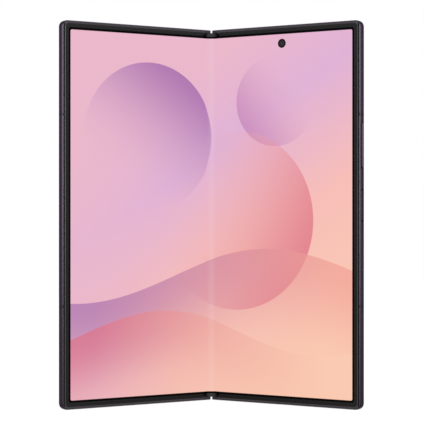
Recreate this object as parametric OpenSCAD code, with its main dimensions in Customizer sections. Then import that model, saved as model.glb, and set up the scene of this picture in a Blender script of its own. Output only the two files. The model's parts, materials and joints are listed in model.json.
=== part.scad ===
// Foldable smartphone that stands half open on the lower edges of its two halves.
// Each half is drawn flat: x runs outward from the fold line, y from the screen to the back
// and z up along the fold. The half is then turned about its own hinge pivot.

/* [Body] */
// Fold line to outer rail, one half
half_width = 71.6; // [68:0.2:78]
// Height along the fold
height = 158.4; // [154:0.2:170]
// Screen rim to back glass, one half
thickness = 4.2; // [4.2:0.05:4.6]
// Radius of the outer corners
corner_radius = 2.7; // [2.4:0.1:4]
// Turn of each half from flat, as the phone stands
fold_angle = 32.15; // [20:0.05:40]

/* [Shell] */
// Wall of the outer rail
rail_wall = 1.5; // [1.4:0.05:1.8]
// Depth at which the rail's front facet begins
rail_facet_depth = 1.22; // [1:0.02:1.3]
// Lean of that facet
rail_facet_lean = 17; // [10:1:18]
// Rounding between the facet and the front of the rail
rail_front_radius = 0.25; // [0.2:0.05:0.3]
// Rounding of the rail towards the back
rail_back_radius = 0.6; // [0.3:0.05:0.8]
// Metal stands this far behind the rim
rail_front_step = 0.12; // [0.05:0.01:0.2]
// Metal stands this far inside the back glass
rail_back_step = 0.08; // [0.04:0.01:0.12]
// Metal seen outside the rim
lip_width = 0.83; // [0.7:0.01:0.95]
// Width of the raised screen rim along the side
rim_width = 1.84; // [1.5:0.02:2.4]
// Width of that rim at the top and bottom
rim_end_width = 2.08; // [1.7:0.02:2.6]
// Inner corners of the rim
rim_corner_radius = 1; // [0.4:0.1:1.6]
// Height of the rim over the screen
rim_thickness = 0.3; // [0.25:0.01:0.35]
// Thickness of the folding screen
panel_thickness = 0.5; // [0.4:0.05:0.55]
// Plate under the screen
midplate_thickness = 0.3; // [0.25:0.05:0.4]
// Glass of the back and of the cover side
glass_thickness = 0.45; // [0.4:0.01:0.5]
// Metal seen round the back glass
glass_inset = 0.85; // [0.75:0.05:1]
// Fine seam between glass and metal
seam = 0.08; // [0.04:0.01:0.12]
// Rail wall to the edge of the screen
panel_clearance = 0.1; // [0.05:0.05:0.2]
// Spine room to the flat part of the screen
panel_side_gap = 0.25; // [0.2:0.05:0.4]
// Edge of that flat part to the end of the rim
rim_end_gap = 0.2; // [0.1:0.05:0.4]
// Back glass laid over the hinge wall
glass_landing = 0.65; // [0.4:0.05:0.9]
// Rounding of the back glass at the fold
glass_fold_radius = 0.4; // [0.2:0.1:0.8]
// Width of an antenna band in the outer rail
band_width = 1.2; // [0.8:0.1:1.6]
// Lower edge to the middle of the lower antenna bands
band_bottom = 42.1; // [38:0.1:44]
// Upper edge to the middle of the upper antenna bands
band_top = 38.4; // [34:0.1:40]

/* [Hinge] */
// Depth of the hinge pivots behind the rim
pivot_depth = 1.5; // [1.48:0.01:1.55]
// Gap between the two rims when the phone is closed
closed_gap = 0.5; // [0.4:0.05:0.7]
// Gap between the halves on the back when flat
fold_line_gap = 0.7; // [0.5:0.05:0.9]
// Gap between the spine and the halves
spine_clearance = 0.1; // [0.08:0.01:0.14]
// Metal of the frame over the spine
fold_lip_thickness = 0.42; // [0.36:0.01:0.45]
// Wall of the spine cover
spine_wall = 0.45; // [0.35:0.05:0.5]
// Sides of the spine end this far behind the pivots
spine_lip_depth = 0.45; // [0.35:0.05:0.6]
// Frame metal above and below the spine
nose_thickness = 1.25; // [1.1:0.05:1.4]
// Rounding of that metal at the fold line
nose_radius = 0.95; // [0.4:0.05:1.05]
// End clearance of the spine
spine_end_clearance = 0.15; // [0.1:0.05:0.3]
// Frame wall beside the hinge
hinge_wall = 1.65; // [1.4:0.05:2]
// Radius of the hinge shafts
shaft_radius = 0.35; // [0.3:0.01:0.38]
// Radial play of a shaft in its bearing
running_clearance = 0.04; // [0.02:0.01:0.06]
// Play along a shaft
axial_clearance = 0.1; // [0.06:0.02:0.2]
// Outer radius of an arm knuckle
knuckle_radius = 0.75; // [0.65:0.01:0.76]
// Length of an arm knuckle
knuckle_length = 4.8; // [3:0.2:6]
// Length of a bearing ear
ear_length = 1; // [0.6:0.1:1.4]
// Bearing ear in front of the pivots
ear_front_wall = 0.65; // [0.6:0.01:0.7]
// Bearing ear beside the outer pivots
ear_side_wall = 0.7; // [0.6:0.05:0.8]
// End walls of the spine behind the front of the ears
end_wall_step = 0.15; // [0.05:0.05:0.3]
// Knuckles to the floor of the carrier
base_clearance = 0.15; // [0.1:0.05:0.2]
// Face width of the timing gears
gear_length = 1.6; // [1:0.1:2.4]
// Teeth of each timing gear
gear_teeth = 8; // [6:2:10]
// Radius of the idler journals
idler_radius = 0.25; // [0.2:0.01:0.28]
// Friction discs in each stack
disc_count = 5; // [3:1:7]
// Thickness of a friction disc
disc_thickness = 0.3; // [0.2:0.05:0.4]
// Hinge module to the end of the body
module_inset = 16; // [13:0.5:18]
// Reach of an arm beyond its pivot
arm_reach = 10; // [9:0.5:10.5]
// Thickness of an arm
arm_thickness = 0.6; // [0.5:0.05:0.65]
// Pocket of an arm beyond each end of its knuckle
pocket_play = 0.3; // [0.2:0.05:0.4]
// End of an arm to its outer screw
arm_screw_inset = 1.8; // [1.2:0.1:2.4]
// Distance between the two screws of an arm
arm_screw_pitch = 3.2; // [2.4:0.1:3.6]
// Radius of an arm screw
arm_screw_radius = 0.4; // [0.3:0.05:0.5]
// Radius of an arm screw's head
arm_screw_head = 0.8; // [0.6:0.05:1]
// Height of the heads of the arm and spine screws
screw_head_height = 0.35; // [0.25:0.05:0.4]
// Each end of the body to the outer spine screws
spine_screw_inset = 36; // [30:1:40]
// Radius of a spine screw
spine_screw_radius = 0.4; // [0.3:0.05:0.5]
// Radius of a spine screw's head
spine_screw_head = 0.7; // [0.6:0.05:0.9]
// Spine screws in the cover's wall
spine_screw_depth = 0.25; // [0.15:0.05:0.3]
// Thickness of the bending middle of the screen
fold_zone_thickness = 0.3; // [0.2:0.05:0.3]
// Upper edge to the middle of the wire ribbon
ribbon_top = 47.5; // [44:0.5:52]
// Width of the wire ribbon
ribbon_width = 6; // [4:0.5:8]
// Thickness of the wire ribbon
ribbon_thickness = 0.1; // [0.06:0.02:0.14]
// Pivots to the ends of the wire ribbon
ribbon_reach = 8; // [6:0.5:9]
// Gap round the wire ribbon in the hinge walls
ribbon_clearance = 0.2; // [0.15:0.05:0.3]
// Half width of the dark end caps
cap_half_width = 2.4; // [2.2:0.1:2.8]
// Height of the dark end caps
cap_height = 1.6; // [1.2:0.1:2]
// Depth of the hollow in the end caps
cap_hollow = 0.3; // [0.2:0.05:0.4]
// End caps behind the line of the rims
cap_setback = 0.05; // [0.05:0.05:0.2]

/* [Keys] */
// Upper antenna band to the volume rocker
volume_gap = 2.5; // [1.5:0.05:5]
// Length of the volume rocker
volume_length = 18.8; // [16:0.2:20]
// Volume rocker over the rail
volume_proud = 0.45; // [0.2:0.05:0.6]
// Volume rocker to the power key
key_gap = 8.4; // [5:0.2:12]
// Length of the power key
power_length = 13.2; // [10:0.2:15]
// Power key below the rail
power_recess = 0.05; // [0:0.01:0.15]
// Width of both keys
key_width = 2; // [1.6:0.1:2.1]
// Gap round a key
key_clearance = 0.12; // [0.08:0.01:0.2]
// Free travel of a key
key_travel = 0.3; // [0.2:0.05:0.35]
// Thickness of the flange inside a key
flange_thickness = 0.4; // [0.3:0.05:0.5]
// Flange beyond each end of its key
flange_end = 0.5; // [0.3:0.05:0.7]
// Flange narrower than its key at each side
flange_side = 0.1; // [0.05:0.05:0.2]
// Height of a switch dome
switch_height = 0.6; // [0.4:0.05:0.8]
// Radius of a switch dome
switch_radius = 0.9; // [0.7:0.05:1]
// Thickness of the film that carries the domes
switch_film = 0.2; // [0.15:0.05:0.3]
// Width of that film
switch_film_width = 2; // [1.8:0.1:2.2]

/* [Ports] */
// Fold line to the middle of the charging socket
socket_x = 37; // [36:0.5:38]
// Width of the socket mouth
socket_width = 8.34; // [8.34:0.01:8.4]
// Height of the socket mouth
socket_mouth = 2.56; // [2.56:0.01:2.58]
// Depth of the socket
socket_depth = 6.5; // [6.2:0.1:7]
// Wall of the socket shell
socket_wall = 0.12; // [0.1:0.01:0.13]
// Lower edge to the socket shell
socket_start = 0.6; // [0.5:0.05:0.8]
// Closed end of the socket
socket_end_wall = 0.8; // [0.6:0.1:1]
// Width of the tongue in the socket
tongue_width = 6.69; // [6.6:0.01:6.7]
// Thickness of that tongue
tongue_thickness = 0.7; // [0.65:0.01:0.7]
// Socket shell to the tip of the tongue
tongue_setback = 0.6; // [0.5:0.05:0.8]
// Outer rail to the outermost loudspeaker hole
speaker_hole_side = 10.1; // [9:0.1:11]
// Distance between the loudspeaker holes
speaker_hole_pitch = 2.4; // [2:0.1:2.5]
// Number of loudspeaker holes
speaker_hole_count = 6; // [4:1:6]
// Fold line to the microphone hole
microphone_x = 27; // [24:0.5:28]
// Fold line to the first earpiece hole
earpiece_x = 18.5; // [17:0.5:20]
// Distance between the earpiece holes
earpiece_pitch = 1.8; // [1.6:0.1:2]
// Number of earpiece holes
earpiece_count = 5; // [3:1:5]
// Radius of a loudspeaker or microphone hole
sound_hole_radius = 0.5; // [0.3:0.05:0.7]
// Outer rail to the middle of the card tray
tray_side = 18.6; // [17:0.2:20]
// Width of the tray face
tray_width = 14; // [13:0.5:15]
// Height of the tray face, screen to back
tray_height = 1.7; // [1.4:0.1:1.8]
// Length of the tray
tray_length = 18; // [17:0.5:20]
// Tray face beyond each side of the tray
tray_shoulder = 0.7; // [0.5:0.1:0.9]
// Thickness of the tray
tray_thickness = 0.9; // [0.8:0.05:1]
// Thickness of the tray face
tray_face = 1.1; // [0.9:0.05:1.3]
// Width of the card
card_width = 8.8; // [8.8:0.1:9]
// Length of the card
card_length = 12.3; // [12.3:0.1:12.5]
// Thickness of the card
card_thickness = 0.5; // [0.4:0.05:0.6]
// Tray under the card
card_floor = 0.25; // [0.2:0.05:0.35]
// Inner end of the tray to the card
card_inset = 1.2; // [0.8:0.1:1.6]
// Wall of the card reader
reader_wall = 0.2; // [0.15:0.05:0.25]
// Length of the card reader
reader_length = 16.5; // [15:0.5:18]
// Card reader to the rail
reader_rail_gap = 0.2; // [0.1:0.05:0.4]
// Card reader to the cover side screen
reader_gap = 0.1; // [0.05:0.05:0.2]

/* [Cameras] */
// Outer rail to the middle of the camera island
island_side = 15.3; // [14.6:0.1:16.1]
// Upper edge to the middle lens
island_top = 36.4; // [34.4:0.5:38.4]
// Distance between the rear lenses
lens_pitch = 18.5; // [17.8:0.1:19]
// Radius of the island ends
island_radius = 9.7; // [9.2:0.1:10]
// Island over the back glass
island_proud = 1.2; // [0.8:0.1:1.6]
// Outer radius of a lens ring
ring_radius = 8; // [7.4:0.1:8.4]
// Wall of a lens ring
ring_wall = 1.5; // [1.2:0.1:1.8]
// Lens ring over the island
ring_proud = 1.2; // [0.8:0.1:1.6]
// Lens below the edge of its ring
lens_recess = 0.2; // [0.1:0.05:0.4]
// Thickness of a lens cover
lens_thickness = 0.5; // [0.4:0.05:0.6]
// Edge of a lens cover to the barrel behind it
barrel_step = 1; // [0.6:0.1:1.4]
// Side of a rear camera module
module_side = 15; // [13:0.5:16]
// Middle of the island to the flash
flash_side = 15.3; // [14:0.1:17]
// Upper edge to the flash
flash_top = 14.9; // [13:0.1:17]
// Radius of the flash cover
flash_radius = 2.2; // [1.8:0.1:2.5]
// Flash cover inside the back glass
flash_seat = 0.3; // [0.2:0.05:0.4]
// Flash cover over the back glass
flash_proud = 0.02; // [0.01:0.01:0.05]
// Side of the flash light
flash_light_side = 2.8; // [2.4:0.1:3]
// Fold line to the inner camera
inner_camera_x = 35.1; // [34:0.1:36]
// Upper edge to the inner camera
inner_camera_top = 7.6; // [6.9:0.1:8.4]
// Radius of the hole for the inner camera
inner_hole_radius = 1.9; // [1.7:0.05:2.2]
// Inner camera's window behind the face of the screen
inner_window_depth = 0.05; // [0.02:0.01:0.1]
// Upper edge to the cover camera
cover_camera_top = 8.4; // [7.4:0.1:9.4]
// Radius of the hole in the cover side screen
cover_hole_radius = 2.1; // [1.9:0.05:2.3]
// Gap round the cover camera in that hole
cover_camera_gap = 0.3; // [0.2:0.05:0.4]
// Side of the inner and cover cameras' housings
small_camera_side = 5.2; // [4.8:0.1:5.6]
// Thickness of the inner camera's housing
inner_camera_thickness = 1.6; // [1.2:0.1:1.8]
// Thickness of the cover camera's housing
cover_camera_thickness = 1.2; // [1:0.1:1.6]

/* [Inside] */
// Rail or hinge wall to what lies inside
inside_clearance = 0.4; // [0.3:0.05:0.5]
// Small play between pieces that touch in use
play = 0.15; // [0.1:0.01:0.2]
// Lower edge to the battery packs
battery_bottom = 30; // [28:0.5:32]
// Height of the right battery
right_battery_height = 63; // [56:0.5:66]
// Height of the left battery
left_battery_height = 82; // [70:0.5:90]
// Rounding of the battery packs
battery_corner = 1.2; // [0.8:0.1:2]
// Arms to the battery packs
battery_arm_gap = 0.6; // [0.4:0.1:1]
// Magnets to the battery packs
battery_magnet_gap = 0.8; // [0.5:0.1:1.2]
// Camera modules to the battery pack
battery_camera_gap = 0.6; // [0.4:0.05:1]
// Width of a battery connector
connector_width = 18; // [14:0.5:20]
// Length of a battery connector
connector_length = 2.2; // [1.8:0.1:3]
// Thickness of a battery connector
connector_thickness = 1; // [0.8:0.1:1.2]
// Battery connector to the circuit board
connector_gap = 0.8; // [0.5:0.1:1.5]
// Thickness of the circuit boards
board_thickness = 0.6; // [0.5:0.05:0.7]
// Boards to the inner edge of the battery packs
board_side_gap = 1; // [0.5:0.1:1.5]
// Left board to the inside of its rail
board_rail_gap = 2; // [1:0.1:3]
// Main board to the camera modules
board_module_gap = 4.7; // [3:0.1:6]
// Main board to the inner camera
board_camera_gap = 1.4; // [0.8:0.1:2]
// Left board to the card reader
board_reader_gap = 0.8; // [0.5:0.1:2]
// Corner of a board to its screws
board_screw_inset = 2; // [1.5:0.1:2.5]
// Radius of a board screw
board_screw_radius = 0.5; // [0.4:0.05:0.6]
// Radius of a board screw's head
board_screw_head = 1; // [0.8:0.05:1.2]
// Height of a board screw's head
board_screw_height = 0.4; // [0.3:0.05:0.5]
// Edge of a board to its shielding cans
can_inset = 5; // [4:0.1:6]
// Upper or lower edge of the left board to its cans
can_edge = 2; // [1:0.1:3]
// Gap between two shielding cans
can_gap = 2; // [1:0.1:3]
// Shielding cans to what lies over them
can_clearance = 0.3; // [0.2:0.05:0.5]
// Upper shielding can to the flash
can_flash_gap = 1.3; // [0.8:0.1:2]
// Height of the board by the socket
sub_board_height = 10; // [9:0.5:12]
// Gap beside the socket in its board
socket_side_gap = 0.8; // [0.5:0.1:1.2]
// Gap behind the socket in its board
socket_end_gap = 0.6; // [0.4:0.1:1]
// Both loudspeakers beyond their outermost holes
speaker_side = 3; // [2:0.1:3.4]
// Loudspeakers to the rail wall
speaker_rail_gap = 0.1; // [0.05:0.05:0.3]
// Height of the lower loudspeaker
speaker_height = 16.4; // [14:0.2:18]
// Lower loudspeaker to the back glass
speaker_back_gap = 0.25; // [0.15:0.05:0.5]
// Lower loudspeaker to the inside of the outer rail
speaker_end_gap = 3; // [1:0.1:5]
// Lower loudspeaker to the board by the socket
speaker_board_gap = 1; // [0.5:0.1:1.5]
// Height of the upper loudspeaker
earpiece_height = 12.4; // [10:0.2:13]
// Width of the microphone
microphone_width = 3.6; // [3:0.1:4]
// Height of the microphone
microphone_height = 2.9; // [2:0.1:3.5]
// Thickness of the microphone
microphone_thickness = 0.9; // [0.7:0.05:1]
// Fold line to the middle of the haptic motor
haptic_x = 50; // [48:0.5:52]
// Width of the haptic motor
haptic_width = 12; // [10:0.5:14]
// Height of the haptic motor
haptic_height = 9; // [7:0.5:10]
// Radius of the charging coil
coil_radius = 20; // [17:0.5:22]
// Radius of the hole in the coil
coil_bore = 11; // [8:0.5:13]
// Thickness of the coil
coil_thickness = 0.35; // [0.25:0.01:0.4]
// Coil to the back glass
coil_glass_gap = 0.1; // [0.05:0.05:0.2]
// Lower edge to the magnets
magnet_bottom = 24; // [20:0.5:26]
// Distance between the two magnets of a half
magnet_pitch = 16; // [15:0.5:17]
// Length of a magnet
magnet_length = 14; // [10:0.5:14.5]
// Width of a magnet
magnet_width = 2.8; // [2:0.1:3.2]
// Thickness of a magnet
magnet_thickness = 1.4; // [1:0.1:1.6]
// Magnets to the inside of the outer rail
magnet_rail_gap = 0.4; // [0.3:0.05:0.8]
// Thickness of the cover side screen
cover_display_thickness = 0.55; // [0.4:0.05:0.6]
// Rounding of the cover side screen
cover_display_corner = 1.5; // [1:0.1:2.5]

/* [Hidden] */

// Facets of a round surface
round_fn = 48;
small_fn = 24;
// Steps in each rounded rail edge
edge_steps = 5;
// Steps from the fold line to the flat screen
bend_steps = 14;
// Cuts run past their faces by this much
over = 1;
// Pieces of one solid run into each other by this much
root = 0.25;
// Grid for the points of the rail's section
grid = 0.001;

// Depths that pieces share
metal_front = rail_front_step;
panel_front = rim_thickness;
panel_back = panel_front + panel_thickness;
inside_front = panel_back + midplate_thickness;
metal_back = thickness - rail_back_step;
inside_back = thickness - glass_thickness;
cover_display_front = inside_back - cover_display_thickness;
cover_inside_back = cover_display_front - play;

// Hinge circles
pivot_x = pivot_depth + closed_gap / 2;
fold_edge = fold_line_gap / 2;
fold_lip_front = metal_back - fold_lip_thickness;
cavity_radius = fold_lip_front - pivot_depth;
spine_radius = cavity_radius - spine_clearance;
spine_bore = spine_radius - spine_wall;
spine_end = nose_thickness + spine_end_clearance;
spine_side_front = pivot_depth + spine_lip_depth;
wall_start = pivot_x + cavity_radius;
wall_end = wall_start + hinge_wall;
panel_start = wall_start + panel_side_gap;
rim_start = panel_start + rim_end_gap;
panel_inset = rail_wall + panel_clearance;
glass_start = wall_end - glass_landing;

// Hinge module, counted from its outer ear
root_share = 1.2;
tooth_root = 0.33;
tooth_tip = 0.1;
gear_pitch_radius = pivot_x / 3;
gear_module = 2 * gear_pitch_radius / gear_teeth;
gear_tip_radius = gear_pitch_radius + gear_module;
gear_root_radius = gear_pitch_radius - root_share * gear_module;
knuckle_from = ear_length + axial_clearance;
gear_from = knuckle_from + knuckle_length;
second_ear_from = gear_from + gear_length + axial_clearance;
discs_from = second_ear_from + ear_length;
third_ear_from = discs_from + disc_count * disc_thickness;
module_end = third_ear_from + ear_length;
ear_front = pivot_depth - ear_front_wall;
end_wall_front = ear_front + end_wall_step;
base_front = pivot_depth + knuckle_radius + base_clearance;
arm_front = inside_front;
arm_back = arm_front + arm_thickness;
arm_end = pivot_x + arm_reach;
arm_screw_x = [arm_end - arm_screw_inset - arm_screw_pitch, arm_end - arm_screw_inset];
spine_screw_z = [spine_screw_inset, height / 2, height - spine_screw_inset];
spine_screw_end = pivot_depth + spine_bore + spine_screw_depth;
ribbon_z = height - ribbon_top;
ribbon_end = pivot_x + ribbon_reach;
ribbon_slot = ribbon_thickness / 2 + ribbon_clearance;

// Rail facet and the centre of the rounding in front of it, in from the outer face
facet_rise = rail_facet_depth - metal_front - rail_front_radius * (1 - sin(rail_facet_lean));
facet_inset = facet_rise * tan(rail_facet_lean);
front_round_x = facet_inset + rail_front_radius * cos(rail_facet_lean);
front_round_y = metal_front + rail_front_radius;

// The standing phone's box is centred on the origin, seen from above
lean = sin(fold_angle);
upright = cos(fold_angle);
foremost = pivot_depth - (half_width - front_round_x - pivot_x) * lean
    - (pivot_depth - front_round_y) * upright - rail_front_radius;
rearmost = pivot_depth + (pivot_x - fold_edge) * lean + (metal_back - pivot_depth) * upright;
stand_shift = -(foremost + rearmost) / 2;

// Inside of a half
inside_left = wall_end + inside_clearance;
inside_right = half_width - rail_wall - inside_clearance;
inside_low = rail_wall + inside_clearance;
inside_high = height - rail_wall - inside_clearance;
magnet_right = inside_right - magnet_rail_gap;
magnet_left = magnet_right - magnet_width;
battery_left = arm_end + battery_arm_gap;
battery_right = magnet_left - battery_magnet_gap;
coil_front = inside_back - coil_glass_gap - coil_thickness;

// Bands and keys
band_z = [band_bottom, height - band_top];
volume_z = height - band_top - band_width / 2 - volume_gap - volume_length / 2;
power_z = volume_z - volume_length / 2 - key_gap - power_length / 2;
key_y = (metal_front + metal_back) / 2;
key_inner = half_width - rail_wall;
flange_outer = key_inner - key_travel;
flange_inner = flange_outer - flange_thickness;
switch_x = flange_inner - key_travel;

// Charging socket and sound holes
socket_y = (panel_back + inside_back) / 2;
speaker_hole_x = [
    for (i = [1 - speaker_hole_count:0]) half_width - speaker_hole_side + speaker_hole_pitch * i
];
earpiece_hole_x = [for (i = [0:earpiece_count - 1]) earpiece_x + earpiece_pitch * i];
speaker_left = speaker_hole_x[0] - speaker_side;
sound_y = (inside_front + inside_back) / 2;

// Card tray
tray_x = half_width - tray_side;
tray_y = cover_display_front - reader_gap - reader_wall - play - tray_thickness / 2;
tray_half = tray_width / 2 - tray_shoulder;
tray_front = tray_y - tray_thickness / 2;
tray_back = tray_y + tray_thickness / 2;
tray_low = height - tray_length;
reader_high = height - rail_wall - reader_rail_gap;
reader_low = reader_high - reader_length;

// Cameras
island_x = half_width - island_side;
lens_z = [for (i = [-1:1]) height - island_top + i * lens_pitch];
lens_radius = ring_radius - ring_wall;
barrel_radius = lens_radius - barrel_step;
island_back = thickness + island_proud;
ring_back = island_back + ring_proud;
lens_back = ring_back - lens_recess;
lens_front = lens_back - lens_thickness;
module_half = module_side / 2;
flash_x = island_x - flash_side;
flash_z = height - flash_top;
inner_camera_z = height - inner_camera_top;
cover_camera_x = (inside_left + inside_right) / 2;
cover_camera_z = height - cover_camera_top;

// Boards and their screws
board_back = inside_front + board_thickness;
board_left = battery_left + board_side_gap;
board_right = island_x - module_half - board_module_gap;
board_low = battery_bottom + right_battery_height + connector_length + connector_gap;
board_high = inner_camera_z - small_camera_side / 2 - board_camera_gap;
board_screws = [
    [board_left + board_screw_inset, board_low + board_screw_inset],
    [board_right - board_screw_inset, board_low + board_screw_inset],
    [board_left + board_screw_inset, board_high - board_screw_inset],
    [board_right - board_screw_inset, (board_low + board_high) / 2]
];
left_board_right = inside_right - board_rail_gap;
left_board_low = battery_bottom + left_battery_height + connector_length + connector_gap;
left_board_high = reader_low - board_reader_gap;
left_board_screws = [
    for (x = [board_left + board_screw_inset, left_board_right - board_screw_inset],
        z = [left_board_low + board_screw_inset, left_board_high - board_screw_inset]) [x, z]
];

// Colours as they look in plain light
metal_colour = [0.27, 0.23, 0.28];
rim_colour = [0.13, 0.13, 0.13];
screen_colour = [0.9, 0.72, 0.8];
glass_colour = [0.2, 0.17, 0.21];
dark_colour = [0.06, 0.06, 0.07];
steel_colour = [0.6, 0.6, 0.62];
board_colour = [0.1, 0.25, 0.2];
gold_colour = [0.8, 0.65, 0.35];
battery_colour = [0.18, 0.18, 0.2];
copper_colour = [0.7, 0.45, 0.3];
lamp_colour = [0.95, 0.92, 0.8];

function arc(cx, cy, r, from, to, steps) =
    [for (i = [0:steps]) let (a = from + (to - from) * i / steps) [cx + r * cos(a), cy + r * sin(a)]];

function eased(t) = t * t * (3 - 2 * t);

// A point of the flat half, turned about the pivot by an angle
function turned(x, y, angle) =
    let (dx = x - pivot_x, dy = y - pivot_depth)
    [pivot_x + dx * cos(angle) + dy * sin(angle), pivot_depth - dx * sin(angle) + dy * cos(angle)];

// A point of a strip that bends from the fold line to the flat part
function bent(x, y) = turned(x, y, fold_angle * (x >= panel_start ? 1 : eased(x / panel_start)));

function mirrored(points) = [for (i = [len(points) - 1:-1:0]) [-points[i][0], points[i][1]]];

// Both faces of a bent strip, as one closed outline about the fold line
function strip_outline(xs, front, back) =
    let (
        front_right = [for (x = xs) bent(x, front)],
        back_right = [for (x = xs) bent(x, back)],
        front_left = mirrored([for (i = [1:len(xs) - 1]) front_right[i]]),
        back_left = mirrored([for (i = [1:len(xs) - 1]) back_right[i]])
    )
    concat(front_left, front_right, [for (i = [len(xs) - 1:-1:0]) back_right[i]],
        [for (i = [len(back_left) - 1:-1:0]) back_left[i]]);

// Gear teeth with straight flanks
function gear_points(phase) =
    let (pitch = 360 / gear_teeth, root_half = tooth_root * pitch, tip_half = tooth_tip * pitch)
    [for (i = [0:gear_teeth - 1]) let (c = phase + i * pitch)
        each [
            [gear_root_radius * cos(c - root_half), gear_root_radius * sin(c - root_half)],
            [gear_tip_radius * cos(c - tip_half), gear_tip_radius * sin(c - tip_half)],
            [gear_tip_radius * cos(c + tip_half), gear_tip_radius * sin(c + tip_half)],
            [gear_root_radius * cos(c + root_half), gear_root_radius * sin(c + root_half)]
        ]];

// Points on a fine grid, where straight and round lengths of the rail meet exactly
function on_grid(points) = [for (p = points) [round(p[0] / grid) * grid, round(p[1] / grid) * grid]];

// Section of the rail: distance in from the outer face, then depth
rail_section = on_grid(concat(
    [[0, rail_facet_depth]],
    arc(front_round_x, front_round_y, rail_front_radius, 180 + rail_facet_lean, 270, edge_steps),
    [
        [lip_width, metal_front], [lip_width, panel_front], [rail_wall, panel_front],
        [rail_wall, inside_back], [glass_inset, inside_back], [glass_inset, metal_back]
    ],
    arc(rail_back_radius, metal_back - rail_back_radius, rail_back_radius, 90, 180, edge_steps)
));

// Puts the right half, or its mirror image, where it stands
module stand() {
    translate([0, stand_shift, 0]) children();
}

module right_side() {
    stand() translate([pivot_x, pivot_depth, 0]) rotate([0, 0, -fold_angle])
        translate([-pivot_x, -pivot_depth, 0]) children();
}

module left_side() {
    mirror([1, 0, 0]) right_side() children();
}

// Extrudes an x-z outline between two depths
module slab(y0, y1) {
    translate([0, y1, 0]) rotate([90, 0, 0]) linear_extrude(y1 - y0) children();
}

// Extrudes an x-y outline between two heights
module bar(z0, z1) {
    translate([0, 0, z0]) linear_extrude(z1 - z0) children();
}

module block(x0, x1, y0, y1, z0, z1) {
    translate([x0, y0, z0]) cube([x1 - x0, y1 - y0, z1 - z0]);
}

// Rounded rectangle with its own radius at the fold side
module plate_outline(x0, x1, z0, z1, outer_r, fold_r) {
    difference() {
        union() {
            translate([x0, z0]) square([x1 - x0 - outer_r, z1 - z0]);
            translate([x0, z0 + outer_r]) square([x1 - x0, z1 - z0 - 2 * outer_r]);
            translate([x1 - outer_r, z0 + outer_r]) circle(outer_r, $fn = round_fn);
            translate([x1 - outer_r, z1 - outer_r]) circle(outer_r, $fn = round_fn);
        }
        if (fold_r > 0) {
            corner_cut(x0, z0, fold_r, 1);
            corner_cut(x0, z1, fold_r, -1);
        }
    }
}

// What a round corner takes off a square one, at the fold side
module corner_cut(x, z, r, up) {
    difference() {
        translate([x - over, up > 0 ? z - over : z - r]) square([over + r, over + r]);
        translate([x + r, z + up * r]) circle(r, $fn = small_fn);
    }
}

// Rounded slot lying along z, seen from the side
module slot_outline(length, width) {
    square([width, length - width], center = true);
    translate([0, (length - width) / 2]) circle(width / 2, $fn = small_fn);
    translate([0, -(length - width) / 2]) circle(width / 2, $fn = small_fn);
}

// Extrudes a side outline along x, its own x being depth and its own y being height
module across(x0, x1, y, z) {
    translate([x0, y, z]) rotate([90, 0, 90]) linear_extrude(x1 - x0) children();
}

// Round bar along the depth of a half
module post(x, z, r, y0, y1) {
    translate([x, y1, z]) rotate([90, 0, 0]) cylinder(r = r, h = y1 - y0, $fn = round_fn);
}

// Both hinge modules, the upper one turned over
module at_hinge_modules() {
    translate([0, 0, module_inset]) children();
    translate([0, 0, height - module_inset]) mirror([0, 0, 1]) children();
}

module pivot_rod(r, z0, z1) {
    translate([pivot_x, pivot_depth, z0]) cylinder(r = r, h = z1 - z0, $fn = small_fn);
}

// Outer rail, its two corners and the top and bottom rails
module rail() {
    bar(corner_radius, height - corner_radius)
        polygon([for (p = rail_section) [half_width - p[0], p[1]]]);
    translate([half_width - corner_radius, 0, corner_radius]) rotate([-90, 0, 0])
        rotate_extrude(angle = 90, $fn = round_fn)
            polygon([for (p = rail_section) [corner_radius - p[0], p[1]]]);
    translate([half_width - corner_radius, 0, height - corner_radius]) rotate([-90, 0, 0])
        rotate([0, 0, -90]) rotate_extrude(angle = 90, $fn = round_fn)
            polygon([for (p = rail_section) [corner_radius - p[0], p[1]]]);
    across(fold_edge, half_width - corner_radius, 0, 0)
        polygon([for (p = rail_section) [p[1], p[0]]]);
    across(fold_edge, half_width - corner_radius, 0, 0)
        polygon([for (p = rail_section) [p[1], height - p[0]]]);
}

// Room that the spine turns in, between the frame's two noses
module spine_room() {
    bar(nose_thickness, height - nose_thickness) {
        translate([pivot_x, pivot_depth]) circle(cavity_radius, $fn = round_fn);
        translate([-over, -over]) square([pivot_x + over, fold_lip_front + over]);
        translate([-over, -over]) square([panel_start + over, panel_front + over]);
    }
}

// Rounds the frame's noses about the pivot and at their ends
module nose_cut() {
    difference() {
        block(-over, pivot_x, -over, pivot_depth, -over, height + over);
        pivot_rod(pivot_x - fold_edge, -2 * over, height + 2 * over);
    }
    slab(-over, thickness + over) {
        corner_cut(fold_edge, 0, nose_radius, 1);
        corner_cut(fold_edge, height, nose_radius, -1);
    }
}

module arm_pockets() {
    at_hinge_modules()
        block(pivot_x, wall_end + over, arm_front, arm_back + play,
            knuckle_from - pocket_play, gear_from + pocket_play);
}

module screw_holes(places, r) {
    for (p = places) post(p[0], p[1], r, panel_back - over, inside_front + over);
}

module arm_screw_posts(r, y0, y1) {
    at_hinge_modules()
        for (x = arm_screw_x) post(x, (knuckle_from + gear_from) / 2, r, y0, y1);
}

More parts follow.
